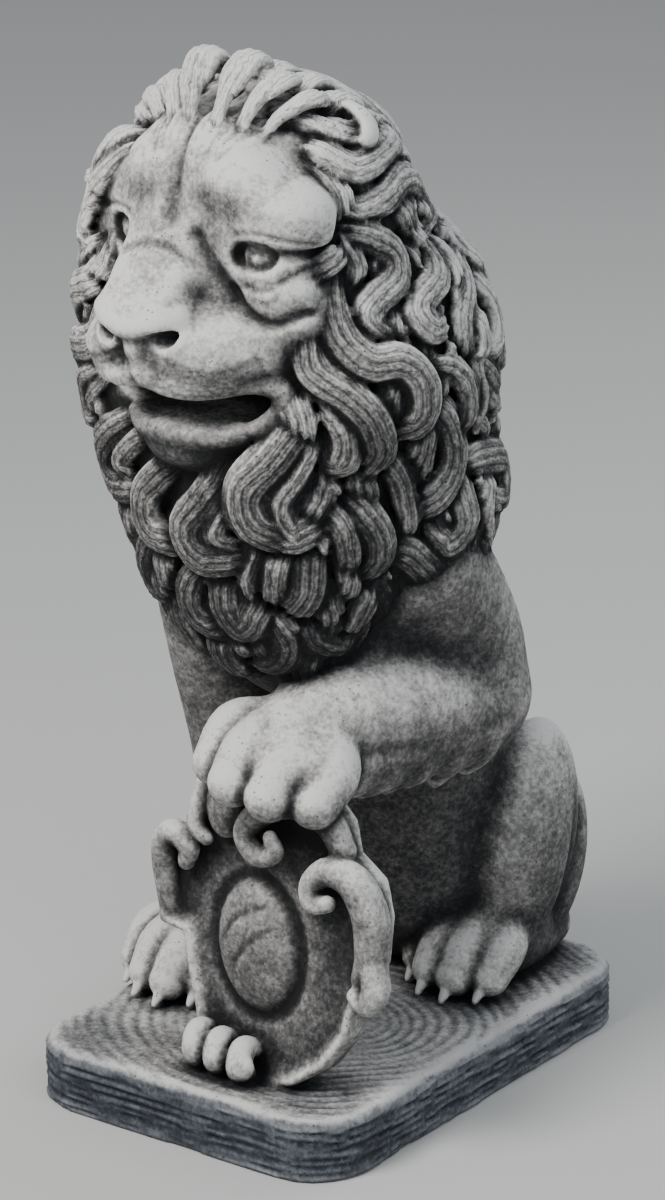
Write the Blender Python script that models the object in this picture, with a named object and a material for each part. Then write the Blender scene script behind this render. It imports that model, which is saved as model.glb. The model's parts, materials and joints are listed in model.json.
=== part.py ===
"""A seated lion in cast stone, one forepaw on a shield, made in one with its plinth."""
import math

import bmesh
import bpy
import numpy as np
from mathutils import Euler, Matrix, Vector

# Sizes, in metres. The lion faces -Y, its left is +X, and the underside lies on the ground.
PLINTH_WIDTH = 0.265
PLINTH_DEPTH = 0.375
PLINTH_THICKNESS = 0.045
PLINTH_CORNER = 0.046
PLINTH_EDGE = 0.005
FIGURE_HEIGHT = 0.700
SKIN_GRAIN = 0.0048
CARVING_GRAIN = 0.0036
FACETS = 9600

# The face keeps finer facets than the rest, within this reach of its middle.
FACE_MIDDLE = (10, 0, -45)
FACE_REACH = 105.0
FACE_CARE = 0.02

# The figure's forms are given in 700ths of its height, up from the plinth's top.
SHARE = FIGURE_HEIGHT / 700.0
SHIELD_THICKNESS = 24.0
MANE_BLEND = 25.0

# How much narrower the face's far side is than its near side.
FAR_SIDE = 0.86
MANE = (
    ((-6, -69, 583), (93, 92, 88)),
    ((-9, -98, 545), (84, 60, 72)),
    ((-2, -34, 480), (125, 125, 114)),
    ((-2, -12, 390), (119, 106, 92)),
    ((-4, -84, 402), (95, 64, 100)),
    ((2, -76, 338), (72, 52, 66)),
)
TOES = ((32, 62), (52, 46), (74, 43), (94, 56))
SHIELD_OUTLINE = (
    (-89, 156), (-90, 120), (-86, 90), (-66, 87), (-58, 60), (-48, 30), (-43, 0), (-20, -8),
    (10, -8), (36, 2), (60, 20), (76, 44), (82, 76), (94, 100), (94, 132), (86, 156),
    (64, 170), (58, 190), (40, 206), (-20, 208), (-58, 206), (-60, 162),
)


def turned(degrees):
    """The rotation made by three angles."""
    return np.array(Euler([math.radians(a) for a in degrees]).to_matrix())


def curve(points, count):
    """Points along a smooth curve through the given ones, with whatever values ride beside them."""
    p = np.array(points, float)
    p = np.vstack([2 * p[0] - p[1], p, 2 * p[-1] - p[-2]])
    out = []
    for s in np.linspace(0, len(points) - 1, count):
        i = min(int(s), len(points) - 2)
        t = s - i
        a, b, c, d = p[i:i + 4]
        out.append(0.5 * (2 * b + (c - a) * t + (2 * a - 5 * b + 4 * c - d) * t ** 2
                          + (3 * b - a - 3 * c + d) * t ** 3))
    return np.array(out)


class Place:
    """A local frame: across to the left, forward, and up."""

    def __init__(self, origin, heading=0.0, lean=0.0):
        h = math.radians(heading)
        p = math.radians(lean)
        left = np.array([math.cos(h), math.sin(h), 0.0])
        ahead = np.array([math.sin(h), -math.cos(h), 0.0])
        up = np.array([0.0, 0.0, 1.0])
        front = ahead * math.cos(p) + up * math.sin(p)
        top = up * math.cos(p) - ahead * math.sin(p)
        self.axes = np.stack([left, front, top], 1)
        self.origin = np.array(origin, float)

    def put(self, points):
        return np.asarray(points, float) @ self.axes.T + self.origin


WORLD = Place((0, 0, 0))
WORLD.axes = np.eye(3)
HEAD = Place((-12, -165, 597), heading=-3.0)
SHIELD = Place((37, -138, 0), lean=8.0)


def lift(points):
    """From the figure's 700ths to metres above the ground."""
    p = np.asarray(points, float) * SHARE
    return p + np.array([0.0, 0.0, PLINTH_THICKNESS])


class Form:
    """A heap of closed shells that become one body."""

    def __init__(self):
        self.bm = bmesh.new()

    def ball(self, centre, radii, turn=(0, 0, 0), place=WORLD, detail=3):
        size = np.array(radii, float) * np.ones(3) * SHARE
        axes = place.axes @ turned(turn) @ np.diag(size)
        matrix = Matrix.Identity(4)
        for i in range(3):
            for j in range(3):
                matrix[i][j] = axes[i, j]
        matrix.translation = Vector(lift(place.put(centre)))
        made = bmesh.ops.create_icosphere(self.bm, subdivisions=detail, radius=1.0, matrix=matrix)
        if np.linalg.det(axes) < 0:
            faces = {f for v in made["verts"] for f in v.link_faces}
            bmesh.ops.reverse_faces(self.bm, faces=list(faces))

    def tube(self, path, sides, ups, widths, heights, corners=10):
        """A closed tube of flattened rings, rounded off at both ends."""
        rings = []
        ahead = path[1] - path[0]
        ahead = ahead / np.linalg.norm(ahead)
        beyond = path[-1] - path[-2]
        beyond = beyond / np.linalg.norm(beyond)
        spots = [(path[0] - ahead * heights[0] * 0.7, 0, 0.55)]
        spots += [(p, i, 1.0) for i, p in enumerate(path)]
        spots += [(path[-1] + beyond * heights[-1] * 0.7, len(path) - 1, 0.55)]
        for centre, i, part in spots:
            ring = []
            for k in range(corners):
                angle = 2 * math.pi * k / corners
                offset = sides[i] * widths[i] * math.cos(angle) + ups[i] * heights[i] * math.sin(angle)
                ring.append(self.bm.verts.new(lift(centre + offset * part)))
            rings.append(ring)
        for low, high in zip(rings, rings[1:]):
            for k in range(corners):
                n = (k + 1) % corners
                self.bm.faces.new((low[k], low[n], high[n], high[k]))
        self.bm.faces.new(rings[0][::-1])
        self.bm.faces.new(rings[-1])

    def limb(self, points, radii, place=WORLD):
        """A round limb through the points, with a radius at each."""
        path = curve([[*p, r] for p, r in zip(points, radii)], 4 * (len(points) - 1) + 1)
        spine = place.put(path[:, :3])
        along = np.gradient(spine, axis=0)
        along /= np.linalg.norm(along, axis=1)[:, None]
        guide = np.array([0.0, 0.0, 1.0]) if abs(along[:, 2]).mean() < 0.7 else np.array([0.0, 1.0, 0.0])
        sides = np.cross(along, guide)
        sides /= np.linalg.norm(sides, axis=1)[:, None]
        ups = np.cross(sides, along)
        self.tube(spine, sides, ups, path[:, 3], path[:, 3], 12)
        self.ball(points[0], radii[0], place=place, detail=2)
        self.ball(points[-1], radii[-1], place=place, detail=2)

    def lock(self, path, normals, widths, heights):
        """A lock of hair laid along a path, flat side to the body."""
        along = np.gradient(path, axis=0)
        along /= np.linalg.norm(along, axis=1)[:, None]
        sides = np.cross(along, normals)
        sides /= np.linalg.norm(sides, axis=1)[:, None]
        self.tube(path, sides, np.cross(sides, along), widths, heights, 8)

    def slab(self, outline, thickness, dish, place):
        """A plate with an outline across and up in its place, its face sunk inside a rim."""
        back = [self.bm.verts.new(lift(place.put((a, -thickness / 2, c)))) for a, c in outline]
        front = [self.bm.verts.new(lift(place.put((a, thickness / 2, c)))) for a, c in outline]
        self.bm.faces.new(back)
        face = self.bm.faces.new(front[::-1])
        for k in range(len(outline)):
            n = (k + 1) % len(outline)
            self.bm.faces.new((back[n], back[k], front[k], front[n]))
        bmesh.ops.inset_region(self.bm, faces=[face], thickness=10 * SHARE, depth=-dish * SHARE)

    def finish(self, name):
        bmesh.ops.recalc_face_normals(self.bm, faces=self.bm.faces[:])
        mesh = bpy.data.meshes.new(name)
        self.bm.to_mesh(mesh)
        self.bm.free()
        made = bpy.data.objects.new(name, mesh)
        bpy.context.scene.collection.objects.link(made)
        return made


def settle(made):
    """Works an object's modifiers into its mesh."""
    graph = bpy.context.evaluated_depsgraph_get()
    graph.update()
    done = bpy.data.meshes.new_from_object(made.evaluated_get(graph))
    made.modifiers.clear()
    made.data = done


def fuse(made, grain, rounds, factor=0.5):
    """Joins overlapping shells into one skin and softens it."""
    skin = made.modifiers.new("skin", "REMESH")
    skin.mode = "VOXEL"
    skin.voxel_size = grain
    if rounds:
        soft = made.modifiers.new("soft", "SMOOTH")
        soft.iterations = rounds
        soft.factor = factor
    settle(made)


def mane_distance(p):
    """How far points lie outside the mane's mass."""
    p = np.asarray(p, float)
    total = None
    for centre, radii in MANE:
        q = p - np.array(centre, float)
        r = np.array(radii, float)
        k0 = np.linalg.norm(q / r, axis=-1)
        k1 = np.linalg.norm(q / r ** 2, axis=-1) + 1e-9
        d = k0 * (k0 - 1) / k1
        if total is None:
            total = d
        else:
            near = np.maximum(MANE_BLEND - np.abs(total - d), 0)
            total = np.minimum(total, d) - near ** 2 / (4 * MANE_BLEND)
    return total


def mane_normal(p):
    """The way straight out of the mane's mass."""
    g = np.array([mane_distance(p + s) - mane_distance(p - s) for s in np.eye(3)])
    return g / (np.linalg.norm(g) + 1e-9)


def on_mane(angle, height):
    """The point of the mane at a height, seen at an angle from its axis, 0 being ahead."""
    a = math.radians(angle)
    way = np.array([math.sin(a), -math.cos(a), 0.0])
    base = np.array([0.0, -10 - 65 * min(max((height - 330) / 270, 0), 1.3), height])
    low = 0.0
    high = 220.0
    for _ in range(18):
        middle = (low + high) / 2
        if mane_distance(base + way * middle) > 0:
            high = middle
        else:
            low = middle
    return base + way * low


def comb(angle, height, length, headings, width, rise=9.0, side=1, pace=12.0):
    """A lock combed along the mane; headings are degrees from straight down, towards side and back."""
    count = max(5, int(length / pace))
    turn = curve([[h] for h in headings], count + 1)[:, 0]
    p = on_mane(side * angle, height)
    path = []
    normals = []
    for i in range(count + 1):
        out = mane_normal(p)
        path.append(p)
        normals.append(out)
        down = np.array([0.0, min(max((p[2] - 600) / 70, 0), 1.2), -1.0])
        down -= out * (down @ out)
        down /= np.linalg.norm(down) + 1e-9
        across = np.cross(out, down)
        if across[0] * out[1] > across[1] * out[0]:
            across = -across
        h = math.radians(turn[i])
        p = p + (down * math.cos(h) + across * side * math.sin(h)) * length / count
        p = p - mane_normal(p) * mane_distance(p)
    t = np.linspace(0, 1, count + 1)
    up = np.interp(t, [0, 0.18, 0.5, 0.8, 1], [-8, 0, 0.4 * rise, 0.5 * rise, 0.5 * rise])
    wide = width * np.interp(t, [0, 0.14, 0.36, 0.7, 0.88, 1], [0.45, 0.7, 0.95, 1.0, 0.72, 0.25])
    normals = np.array(normals)
    return np.array(path) + normals * up[:, None], normals, wide, wide * 0.75


SIDE_LOCKS = (
    (50, 655, 100, (125, 95, 60, -30, -90), 14),
    (50, 648, 88, (110, 95, 80, 60), 12),
    (54, 640, 95, (75, 90, 110, 60), 13),
    (60, 616, 135, (70, 115, 60, -20, -60), 15),
    (60, 598, 115, (70, 60, -10, -50, -90), 15),
    (82, 592, 120, (80, 20, -30, 10, 60), 17),
    (58, 590, 200, (0, -20, 20, 70, 70, 0, -50), 15),
    (56, 560, 165, (-20, -10, 40, 60, 20, -10, -60), 15),
    (56, 520, 110, (0, 10, 40, 10, -60), 15),
    (122, 600, 105, (60, 10, -30, -60), 17),
    (112, 545, 100, (50, 10, -30, -80), 17),
    (96, 535, 110, (40, 20, -20, -70), 16),
    (112, 490, 100, (50, 20, -30, -80), 18),
    (92, 480, 105, (30, 30, -10, -60), 17),
    (70, 455, 90, (20, 20, -20, -60), 16),
    (60, 405, 80, (0, -10, 10, 40), 16),
    (78, 400, 80, (20, -20, 40, 90), 17),
    (96, 420, 85, (-15, 15, -40, -80), 17),
    (112, 430, 85, (20, -20, 40, 90), 17),
)
BEARD_LOCKS = (
    (-12, 462, 95, (-30, -20, 10, 80), 16),
    (12, 464, 110, (-20, -20, 10, 90), 17),
    (30, 462, 110, (-40, -10, 40, 100), 18),
    (44, 442, 92, (10, -10, 0, 20), 17),
    (26, 394, 72, (0, -10, 10, 30), 19),
    (-10, 388, 84, (-10, 0, 40, 80), 18),
    (-34, 392, 76, (-10, 0, 10, 40), 16),
    (-24, 334, 58, (-20, 20, 70), 16),
    (4, 332, 58, (0, 10, 60), 17),
    (33, 352, 62, (0, -10, -50), 16),
    (56, 384, 78, (40, 60, 20, -50), 18),
    (50, 352, 62, (20, 30, -30), 15),
    (-30, 458, 92, (10, -20, 20, 70), 16),
    (-48, 462, 94, (10, -20, 20, 70), 16),
    (-46, 420, 90, (10, -20, 30, 90), 16),
    (-58, 390, 72, (10, -20, 30, 90), 16),
)


def mane_locks():
    """Every lock: rows over the back, an under layer in front, then the waves and the beard."""
    out = []
    for row, height in enumerate((655, 622, 585, 545, 503, 461, 420, 382, 345)):
        reach = (50, 62, 100, 100, 95, 92, 90, 95, 95)[row]
        count = int((180 - reach) / 25)
        for i in range(-count, count + 1):
            angle = (i + (row % 2) * 0.5) * (180 - reach) / count
            if abs(angle) > 180 - reach:
                continue
            side = 1 if angle >= 0 else -1
            sway = math.sin(row * 2.3 + i * 1.7)
            hook = 95 if sway > 0 else -95
            headings = (30 * sway, -25 * sway, 30 * sway, 0.6 * hook, hook)
            out.append(comb(180 - abs(angle), height, 92 + 12 * sway, headings, 17 + 1.5 * sway, side=side))
    for row, (height, reach) in enumerate(((500, 85), (462, 85), (425, 88), (388, 88), (354, 84), (324, 66))):
        count = int(reach / 23)
        for i in range(-count, count + 1):
            angle = (i + (row % 2) * 0.5) * reach / count
            if abs(angle) > reach or (row < 2 and abs(angle) < 34):
                continue
            sway = math.sin(row * 1.9 + i * 2.3)
            hook = 90 if sway > 0 else -90
            headings = (20 * sway, -20 * sway, 25 * sway, 0.6 * hook, hook)
            out.append(
                comb(
                    abs(angle), height, 74 + 8 * sway, headings, 15 + sway, rise=5,
                    side=1 if angle >= 0 else -1,
                ),
            )
    for side in (1, -1):
        for angle, height, length, headings, width in SIDE_LOCKS:
            out.append(comb(angle, height, length, headings, width, rise=12, side=side))
    for angle, height, length, headings, width in BEARD_LOCKS:
        out.append(comb(abs(angle), height, length, headings, width, rise=12, side=1 if angle >= 0 else -1))
    return out


TALL_TUFTS = (
    (-72, -72, 64, -16, 9),
    (-54, -62, 76, -10, 9),
    (-33, -57, 87, -5, 10.5),
    (-10, -54, 94, -2, 12),
    (15, -54, 93, 3, 12),
    (38, -58, 86, 9, 11),
    (57, -66, 76, 14, 10),
)


def crown_tufts():
    """The tufts that stand up in a fan over the forehead, as points and radii in the head's frame."""
    out = []
    for a, b, c, lean, r in TALL_TUFTS:
        path = (
            (a * 0.5, -34, 44), (a * 0.75, -42, c - 24), (a * 0.95, b + 2, c - 4),
            (a + lean * 0.5, b - 10, c + 1), (a + lean, b - 21, c - 8),
        )
        out.append((path, (4, 8, r, r, r * 0.55)))
    for a, b, c, r in ((-48, -96, 74, 11), (-20, -101, 82, 12), (10, -101, 82, 12), (38, -99, 78, 11)):
        path = (
            (a, b + 32, c - 16), (a, b + 8, c - 1), (a * 1.1, b - 12, c - 3), (a * 1.15, b - 28, c - 17),
        )
        out.append((path, (8, r, r * 0.95, r * 0.4)))
    return out


def ears(form):
    for s in (-1, 1):
        form.ball((s * 72, -92, 68), (21, 12, 22), turn=(14, s * 28, 0), place=HEAD)


def hair(form):
    for path, normals, widths, heights in mane_locks():
        form.lock(path, normals, widths, heights)
    ears(form)
    for points, radii in crown_tufts():
        form.limb(points, radii, place=HEAD)


def torso(form):
    form.ball((0, 128, 70), (84, 56, 78))
    form.limb([(0, 112, 70), (0, 84, 170), (0, 55, 250), (0, 25, 330), (0, -5, 400)], [76, 78, 80, 86, 90])
    form.ball((0, -20, 300), (84, 68, 70))


def hind_legs(form):
    for s in (-1, 1):
        form.limb([(s * 72, 160, 20), (s * 74, 118, 24), (s * 74, 84, 30)], [20, 27, 28])
        form.ball((s * 82, 120, 104), (33, 44, 84), turn=(-12, 0, 0))
        form.ball((s * 70, 158, 74), (34, 30, 70), turn=(-14, 0, 0))
        for x, y in TOES:
            knuckle = (s * (74 + (x - 74) * 0.6), 92, 40)
            form.limb([knuckle, (s * x, y + 20, 33), (s * x, y + 2, 17)], [15, 16.5, 14.5])
            form.limb([(s * x, y - 9, 10), (s * x, y - 19, 3)], [4.5, 2])


def tail(form):
    path = [(0, 168, 46), (-40, 182, 24), (-86, 172, 16), (-114, 138, 15), (-117, 96, 15), (-110, 66, 16)]
    form.limb(path, [16, 14, 12, 11, 11, 11])
    for i in range(4):
        turn = math.radians(-60 + 40 * i)
        tip = (-110 + 16 * math.sin(turn) - 4, 66 - 32 * math.cos(turn), 14)
        form.limb(
            [(-114, 84, 16), (-110 + 9 * math.sin(turn), 64 - 12 * math.cos(turn), 18), tip],
            [10, 11, 4],
        )


def standing_foreleg(form):
    leg = [(-80, -22, 330), (-86, -6, 250), (-90, 14, 160), (-92, 14, 90), (-94, 2, 40)]
    form.limb(leg, [52, 43, 35, 30, 29])
    form.ball((-95, -24, 27), (38, 46, 27))
    for x, y in ((-129, -58), (-109, -74), (-86, -80), (-66, -66)):
        knuckle = (-95 + (x + 95) * 0.6, -24, 38)
        form.limb([knuckle, (x, y + 20, 33), (x, y + 1, 16)], [15, 16.5, 14])
        form.limb([(x, y - 9, 10), (x, y - 19, 3)], [4.5, 2])


def raised_foreleg(form):
    form.limb([(72, -8, 340), (82, 32, 280), (86, 40, 240)], [52, 44, 41])
    form.limb([(86, 36, 232), (76, -14, 243), (60, -66, 244), (46, -98, 234)], [42, 45, 41, 35])
    form.ball((42, -112, 226), (50, 42, 28), turn=(16, 0, -12))
    for x, y, z in ((2, -136, 222), (27, -152, 218), (57, -152, 214), (83, -136, 210)):
        knuckle = (44 + (x - 44) * 0.62, -104, 243)
        form.limb([knuckle, (x, y + 22, z + 14), (x, y + 1, z - 4)], [15, 18.5, 17])
    for i in range(9):
        t = i / 8
        x = 92 - 40 * t
        y = 34 - 116 * t
        sag = 184 - 7 * math.sin(i * 2.1)
        form.limb([(x, y, 210), (x - 8, y - 14, sag + 6), (x - 10, y - 30, sag)], [13, 10, 3.5])


def skull(form):
    form.ball((5, -108, -8), (88, 91, 87), place=HEAD)
    form.ball((4, -72, -52), (79, 51, 71), place=HEAD)
    form.ball((0, -48, 30), (51, 33, 35), turn=(-12, 0, 0), place=HEAD)
    form.limb([(0, -42, 40), (-2, -34, 16), (-4, -28, -4)], [24, 20, 15], place=HEAD)
    for s in (-FAR_SIDE, 1):
        form.ball((s * 40, -35, 25), (30, 28, 22), turn=(0, s * 10, 0), place=HEAD)
        form.ball((s * 63, -41, 11), (37, 30, 22), turn=(0, s * 6, 0), place=HEAD)
        form.ball((s * 64, -52, -58), (34, 35, 40), place=HEAD)
        form.ball((s * 64, -33, -28), (25, 20, 15), turn=(0, -s * 8, 0), place=HEAD)
        form.ball((s * 70, -35, -46), (27, 19, 14), turn=(0, -s * 6, 0), place=HEAD)
    form.limb(
        [(-10, -28, 1), (-20, -16, -18), (-26, -7, -34), (-28, 7, -50), (-25, 19, -62)],
        [12, 14, 14, 12, 10], place=HEAD,
    )
    form.limb(
        [(-2, -27, 2), (-5, -13, -19), (-9, -3, -35), (-9, 11, -50), (-8, 24, -63)],
        [11, 13, 14, 13, 11], place=HEAD,
    )
    form.limb(
        [(7, -28, 2), (9, -16, -20), (9, -6, -36), (9, 7, -50), (10, 19, -62)],
        [11, 13, 13, 12, 10], place=HEAD,
    )
    form.ball((-4, -24, -84), (54, 54, 36), turn=(0, 0, -12), place=HEAD)
    form.ball((28, -6, -88), (38, 27, 26), turn=(0, -4, -22), place=HEAD)
    form.ball((-32, 4, -88), (28, 26, 24), turn=(0, 6, 8), place=HEAD)


def features(form):
    form.ball((-6, 14, -58), (28, 20, 11), turn=(-18, 0, -12), place=HEAD)
    edge = [(-31, 27, -58), (-17, 34, -62), (-3, 35, -65), (12, 28, -64), (22, 17, -60)]
    form.limb(edge, [4.5, 5.5, 6, 5.5, 5], place=HEAD)
    form.ball((-3, 24, -77), (10, 13, 15), turn=(0, 0, -12), place=HEAD)
    form.ball((14, 17, -74), (13, 16, 12), turn=(0, 0, -20), place=HEAD)
    form.ball((-22, 21, -74), (13, 16, 12), turn=(0, 0, 10), place=HEAD)
    for s in (-FAR_SIDE, 1):
        form.limb([(s * 36, -22, 10), (s * 40, -19, -8), (s * 45, -21, -32)], [11, 8.5, 6], place=HEAD)
        brow = [
            (s * 42, -20, -2), (s * 55, -17, -4), (s * 69, -19, -5), (s * 83, -28, -6),
            (s * 93, -44, -7),
        ]
        form.limb(brow, [6, 7.5, 7.5, 7, 5], place=HEAD)
        form.ball((s * 61, -29, -21), (15, 14.5, 14), place=HEAD)


def mouth(form):
    form.ball((4, -34, -142), (42, 42, 15), place=HEAD)
    form.ball((4, -40, -152), (40, 40, 22), place=HEAD)
    form.ball((4, -16, -150), (30, 28, 17), place=HEAD)
    left_lip = [(2, 25, -98), (16, 20, -104), (32, 9, -106), (48, -8, -106), (62, -28, -106)]
    left_rim = [
        (50, -8, -104), (64, -20, -103), (74, -29, -112), (71, -27, -126), (56, -17, -137),
        (36, -5, -142), (17, 5, -140), (0, 9, -136),
    ]
    right_lip = [(-2, 26, -98), (-18, 27, -102), (-34, 18, -103), (-48, 0, -103), (-60, -26, -102)]
    right_rim = [
        (-54, -16, -103), (-62, -28, -106), (-64, -38, -116), (-57, -33, -129), (-43, -18, -138),
        (-24, -2, -142), (-8, 6, -139), (4, 8, -136),
    ]
    for lip, rim in ((left_lip, left_rim), (right_lip, right_rim)):
        form.limb(lip, [6, 7, 7.5, 7.5, 7], place=HEAD)
        form.limb(rim, [6, 7.5, 8, 7.5, 6.5, 6, 6, 6], place=HEAD)


def mane_mass(form):
    for centre, radii in MANE:
        form.ball(centre, radii)


def shield(form):
    """A plate with scrolled edges and an oval boss, leaning back a little."""
    form.slab(SHIELD_OUTLINE, SHIELD_THICKNESS, 8, SHIELD)
    strap = [(-80, 2, 96), (-84, 8, 122), (-84, 14, 146), (-74, 18, 158), (-62, 16, 150), (-64, 14, 138)]
    form.limb(strap, [8, 9, 9, 9, 8, 6], place=SHIELD)
    scroll = [
        (84, 4, 88), (90, 8, 108), (88, 12, 136), (74, 15, 156), (54, 16, 158), (42, 17, 146),
        (45, 17, 134), (56, 16, 136),
    ]
    form.limb(scroll, [10, 12, 13, 12, 10, 8, 7, 6], place=SHIELD)
    volute = [
        (60, 8, 172), (50, 13, 190), (26, 17, 198), (2, 19, 190), (-12, 20, 172), (-2, 20, 158),
        (12, 20, 162), (8, 20, 172),
    ]
    form.limb(volute, [9, 10, 10, 10, 9, 8, 7, 5], place=SHIELD)
    form.ball((-34, 12, 186), (16, 13, 25), place=SHIELD)
    form.limb([(-54, 8, 210), (-56, 13, 186), (-57, 15, 166), (-48, 15, 158)], [6, 7, 7, 5], place=SHIELD)
    form.ball((-6, 4, 90), (33, 16, 46), turn=(0, -15, 0), place=SHIELD)
    for i, a in enumerate((-38, -20, 0)):
        form.limb(
            [(a, 8, 24 - 2 * i), (a, 20, 25 - 2 * i), (a + 2, 26, 14 - 2 * i), (a, 16, 3)], [7, 9, 9, 8],
            place=SHIELD,
        )
    form.ball((6, 27, 12), (9, 5, 9), place=SHIELD)


def plinth_slab():
    """The slab with rounded corners and a softened edge."""
    bm = bmesh.new()
    bmesh.ops.create_cube(bm, size=1.0)
    for v in bm.verts:
        v.co.x *= PLINTH_WIDTH
        v.co.y *= PLINTH_DEPTH
        v.co.z = (v.co.z + 0.5) * PLINTH_THICKNESS
    uprights = [e for e in bm.edges if abs(e.verts[0].co.z - e.verts[1].co.z) > PLINTH_THICKNESS / 2]
    bmesh.ops.bevel(bm, geom=uprights, offset=PLINTH_CORNER, segments=8, profile=0.5, affect="EDGES")
    rims = [e for e in bm.edges if abs(e.verts[0].co.z - e.verts[1].co.z) < 1e-6
            and e.verts[0].co.z > PLINTH_THICKNESS / 2 and len(e.link_faces) == 2
            and any(abs(f.normal.z) < 0.5 for f in e.link_faces)]
    bmesh.ops.bevel(bm, geom=rims, offset=PLINTH_EDGE, segments=2, profile=0.5, affect="EDGES")
    mesh = bpy.data.meshes.new("plinth")
    bm.to_mesh(mesh)
    bm.free()
    made = bpy.data.objects.new("plinth", mesh)
    bpy.context.scene.collection.objects.link(made)
    return made


def hollows(form):
    """The open mouth and the eye sockets."""
    form.ball((4, -22, -121), (68, 56, 16), place=HEAD)
    for s in (-FAR_SIDE, 1):
        form.ball((s * 63, -4, -22), (24, 28, 13), turn=(0, -s * 8, 0), place=HEAD)


def build():
    """The whole statue, one solid."""
    flesh = Form()
    torso(flesh)
    hind_legs(flesh)
    tail(flesh)
    standing_foreleg(flesh)
    raised_foreleg(flesh)
    mane_mass(flesh)
    skull(flesh)
    soft = flesh.finish("flesh")
    fuse(soft, SKIN_GRAIN, 6)

    cut = Form()
    hollows(cut)
    cutter = cut.finish("hollows")
    cutter.hide_render = True
    cutter.display_type = "WIRE"
    carve = soft.modifiers.new("carve", "BOOLEAN")
    carve.operation = "DIFFERENCE"
    carve.solver = "EXACT"
    carve.object = cutter
    settle(soft)

    carved = Form()
    hair(carved)
    features(carved)
    mouth(carved)
    shield(carved)
    statue = carved.finish("lion_statue")
    slab = plinth_slab()
    joined = bmesh.new()
    joined.from_mesh(statue.data)
    joined.from_mesh(soft.data)
    joined.from_mesh(slab.data)
    joined.to_mesh(statue.data)
    joined.free()
    fuse(statue, CARVING_GRAIN, 2)

    bm = bmesh.new()
    bm.from_mesh(statue.data)
    for v in bm.verts:
        if v.co.z < PLINTH_THICKNESS * 0.12:
            v.co.z = 0.0
    bmesh.ops.triangulate(bm, faces=bm.faces[:])
    count = len(bm.faces)
    bm.to_mesh(statue.data)
    bm.free()
    plain = statue.vertex_groups.new(name="plain")
    for v in statue.data.vertices:
        ahead = (np.array(v.co) - lift(HEAD.put(FACE_MIDDLE))) / (FACE_REACH * SHARE)
        plain.add([v.index], min(float(ahead @ ahead), 1.0), "REPLACE")
    thin = statue.modifiers.new("thin", "DECIMATE")
    thin.ratio = FACETS / count
    thin.vertex_group = "plain"
    thin.vertex_group_factor = FACE_CARE
    settle(statue)
    for spare in (soft, slab, cutter):
        bpy.data.objects.remove(spare)
    return statue


for old in list(bpy.data.objects):
    bpy.data.objects.remove(old)
statue = build()
stone = bpy.data.materials.new("cast_stone")
stone.use_nodes = True
surface = stone.node_tree.nodes["Principled BSDF"]
surface.inputs["Base Color"].default_value = (0.30, 0.29, 0.28, 1.0)
surface.inputs["Roughness"].default_value = 0.85
statue.data.materials.clear()
statue.data.materials.append(stone)
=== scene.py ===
"""A seated lion in cast stone, one forepaw on a shield: its fine carving, finish, light and camera."""
import json
import math
from functools import partial

import bmesh
import bpy
import numpy as np
from mathutils import Euler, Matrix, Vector

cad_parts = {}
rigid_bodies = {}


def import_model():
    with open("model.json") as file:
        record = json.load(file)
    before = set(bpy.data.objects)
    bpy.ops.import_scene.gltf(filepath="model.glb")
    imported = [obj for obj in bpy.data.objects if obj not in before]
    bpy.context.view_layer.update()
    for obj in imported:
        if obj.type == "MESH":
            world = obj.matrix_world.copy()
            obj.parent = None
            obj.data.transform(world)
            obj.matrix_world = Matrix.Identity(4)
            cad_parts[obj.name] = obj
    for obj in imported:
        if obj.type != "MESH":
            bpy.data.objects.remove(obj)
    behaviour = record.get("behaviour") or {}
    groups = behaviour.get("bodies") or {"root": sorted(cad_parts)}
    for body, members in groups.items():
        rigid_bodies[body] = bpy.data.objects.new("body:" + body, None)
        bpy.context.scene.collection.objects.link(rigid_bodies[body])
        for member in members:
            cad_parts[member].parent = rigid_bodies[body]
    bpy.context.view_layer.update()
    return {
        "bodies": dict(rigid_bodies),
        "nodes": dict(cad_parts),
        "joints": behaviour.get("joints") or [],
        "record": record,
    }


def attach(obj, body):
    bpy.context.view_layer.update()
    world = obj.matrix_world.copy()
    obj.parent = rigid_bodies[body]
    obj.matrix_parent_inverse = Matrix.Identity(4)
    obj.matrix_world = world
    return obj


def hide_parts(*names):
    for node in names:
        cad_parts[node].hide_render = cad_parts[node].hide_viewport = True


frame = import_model()

# The figure is carved in millimetres, up from the slab's top, and the mesh is then set in metres.
MM = 0.001
STEP = 2.0
FINE_FACETS = 196000
# The distance that the grid starts with, and what is added to a lock's strands so that 0 means no hair.
FAR = 60.0
STRAND_BASE = 50.0
TINY = 1e-9

PLINTH_WIDTH, PLINTH_DEPTH, PLINTH_THICKNESS, PLINTH_CORNER = 265.0, 375.0, 45.0, 46.0
SIDE_ROUND = 7.0
LAYER_PITCH = 1.05
RAKE_PITCH, RAKE_CENTRE = 9.5, (30, -30)
# How much narrower the face's far side is than its near side.
FAR_SIDE = 0.86

# Where the photograph was taken from: what it looks at, its distance, its angles, and its size in pixels.
PHOTO_TARGET = (54.5, -75.9, 371.9)
PHOTO_DISTANCE = 3000.0
PHOTO_HEADING, PHOTO_RISE = math.radians(36.0), math.radians(18.7)
PHOTO_WIDE, PHOTO_HIGH, PHOTO_FOCUS = 665, 1200, 4500.0
SENSOR = 36.0
PHOTO_BACK = (
    math.sin(PHOTO_HEADING) * math.cos(PHOTO_RISE),
    -math.cos(PHOTO_HEADING) * math.cos(PHOTO_RISE),
    math.sin(PHOTO_RISE),
)

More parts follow.
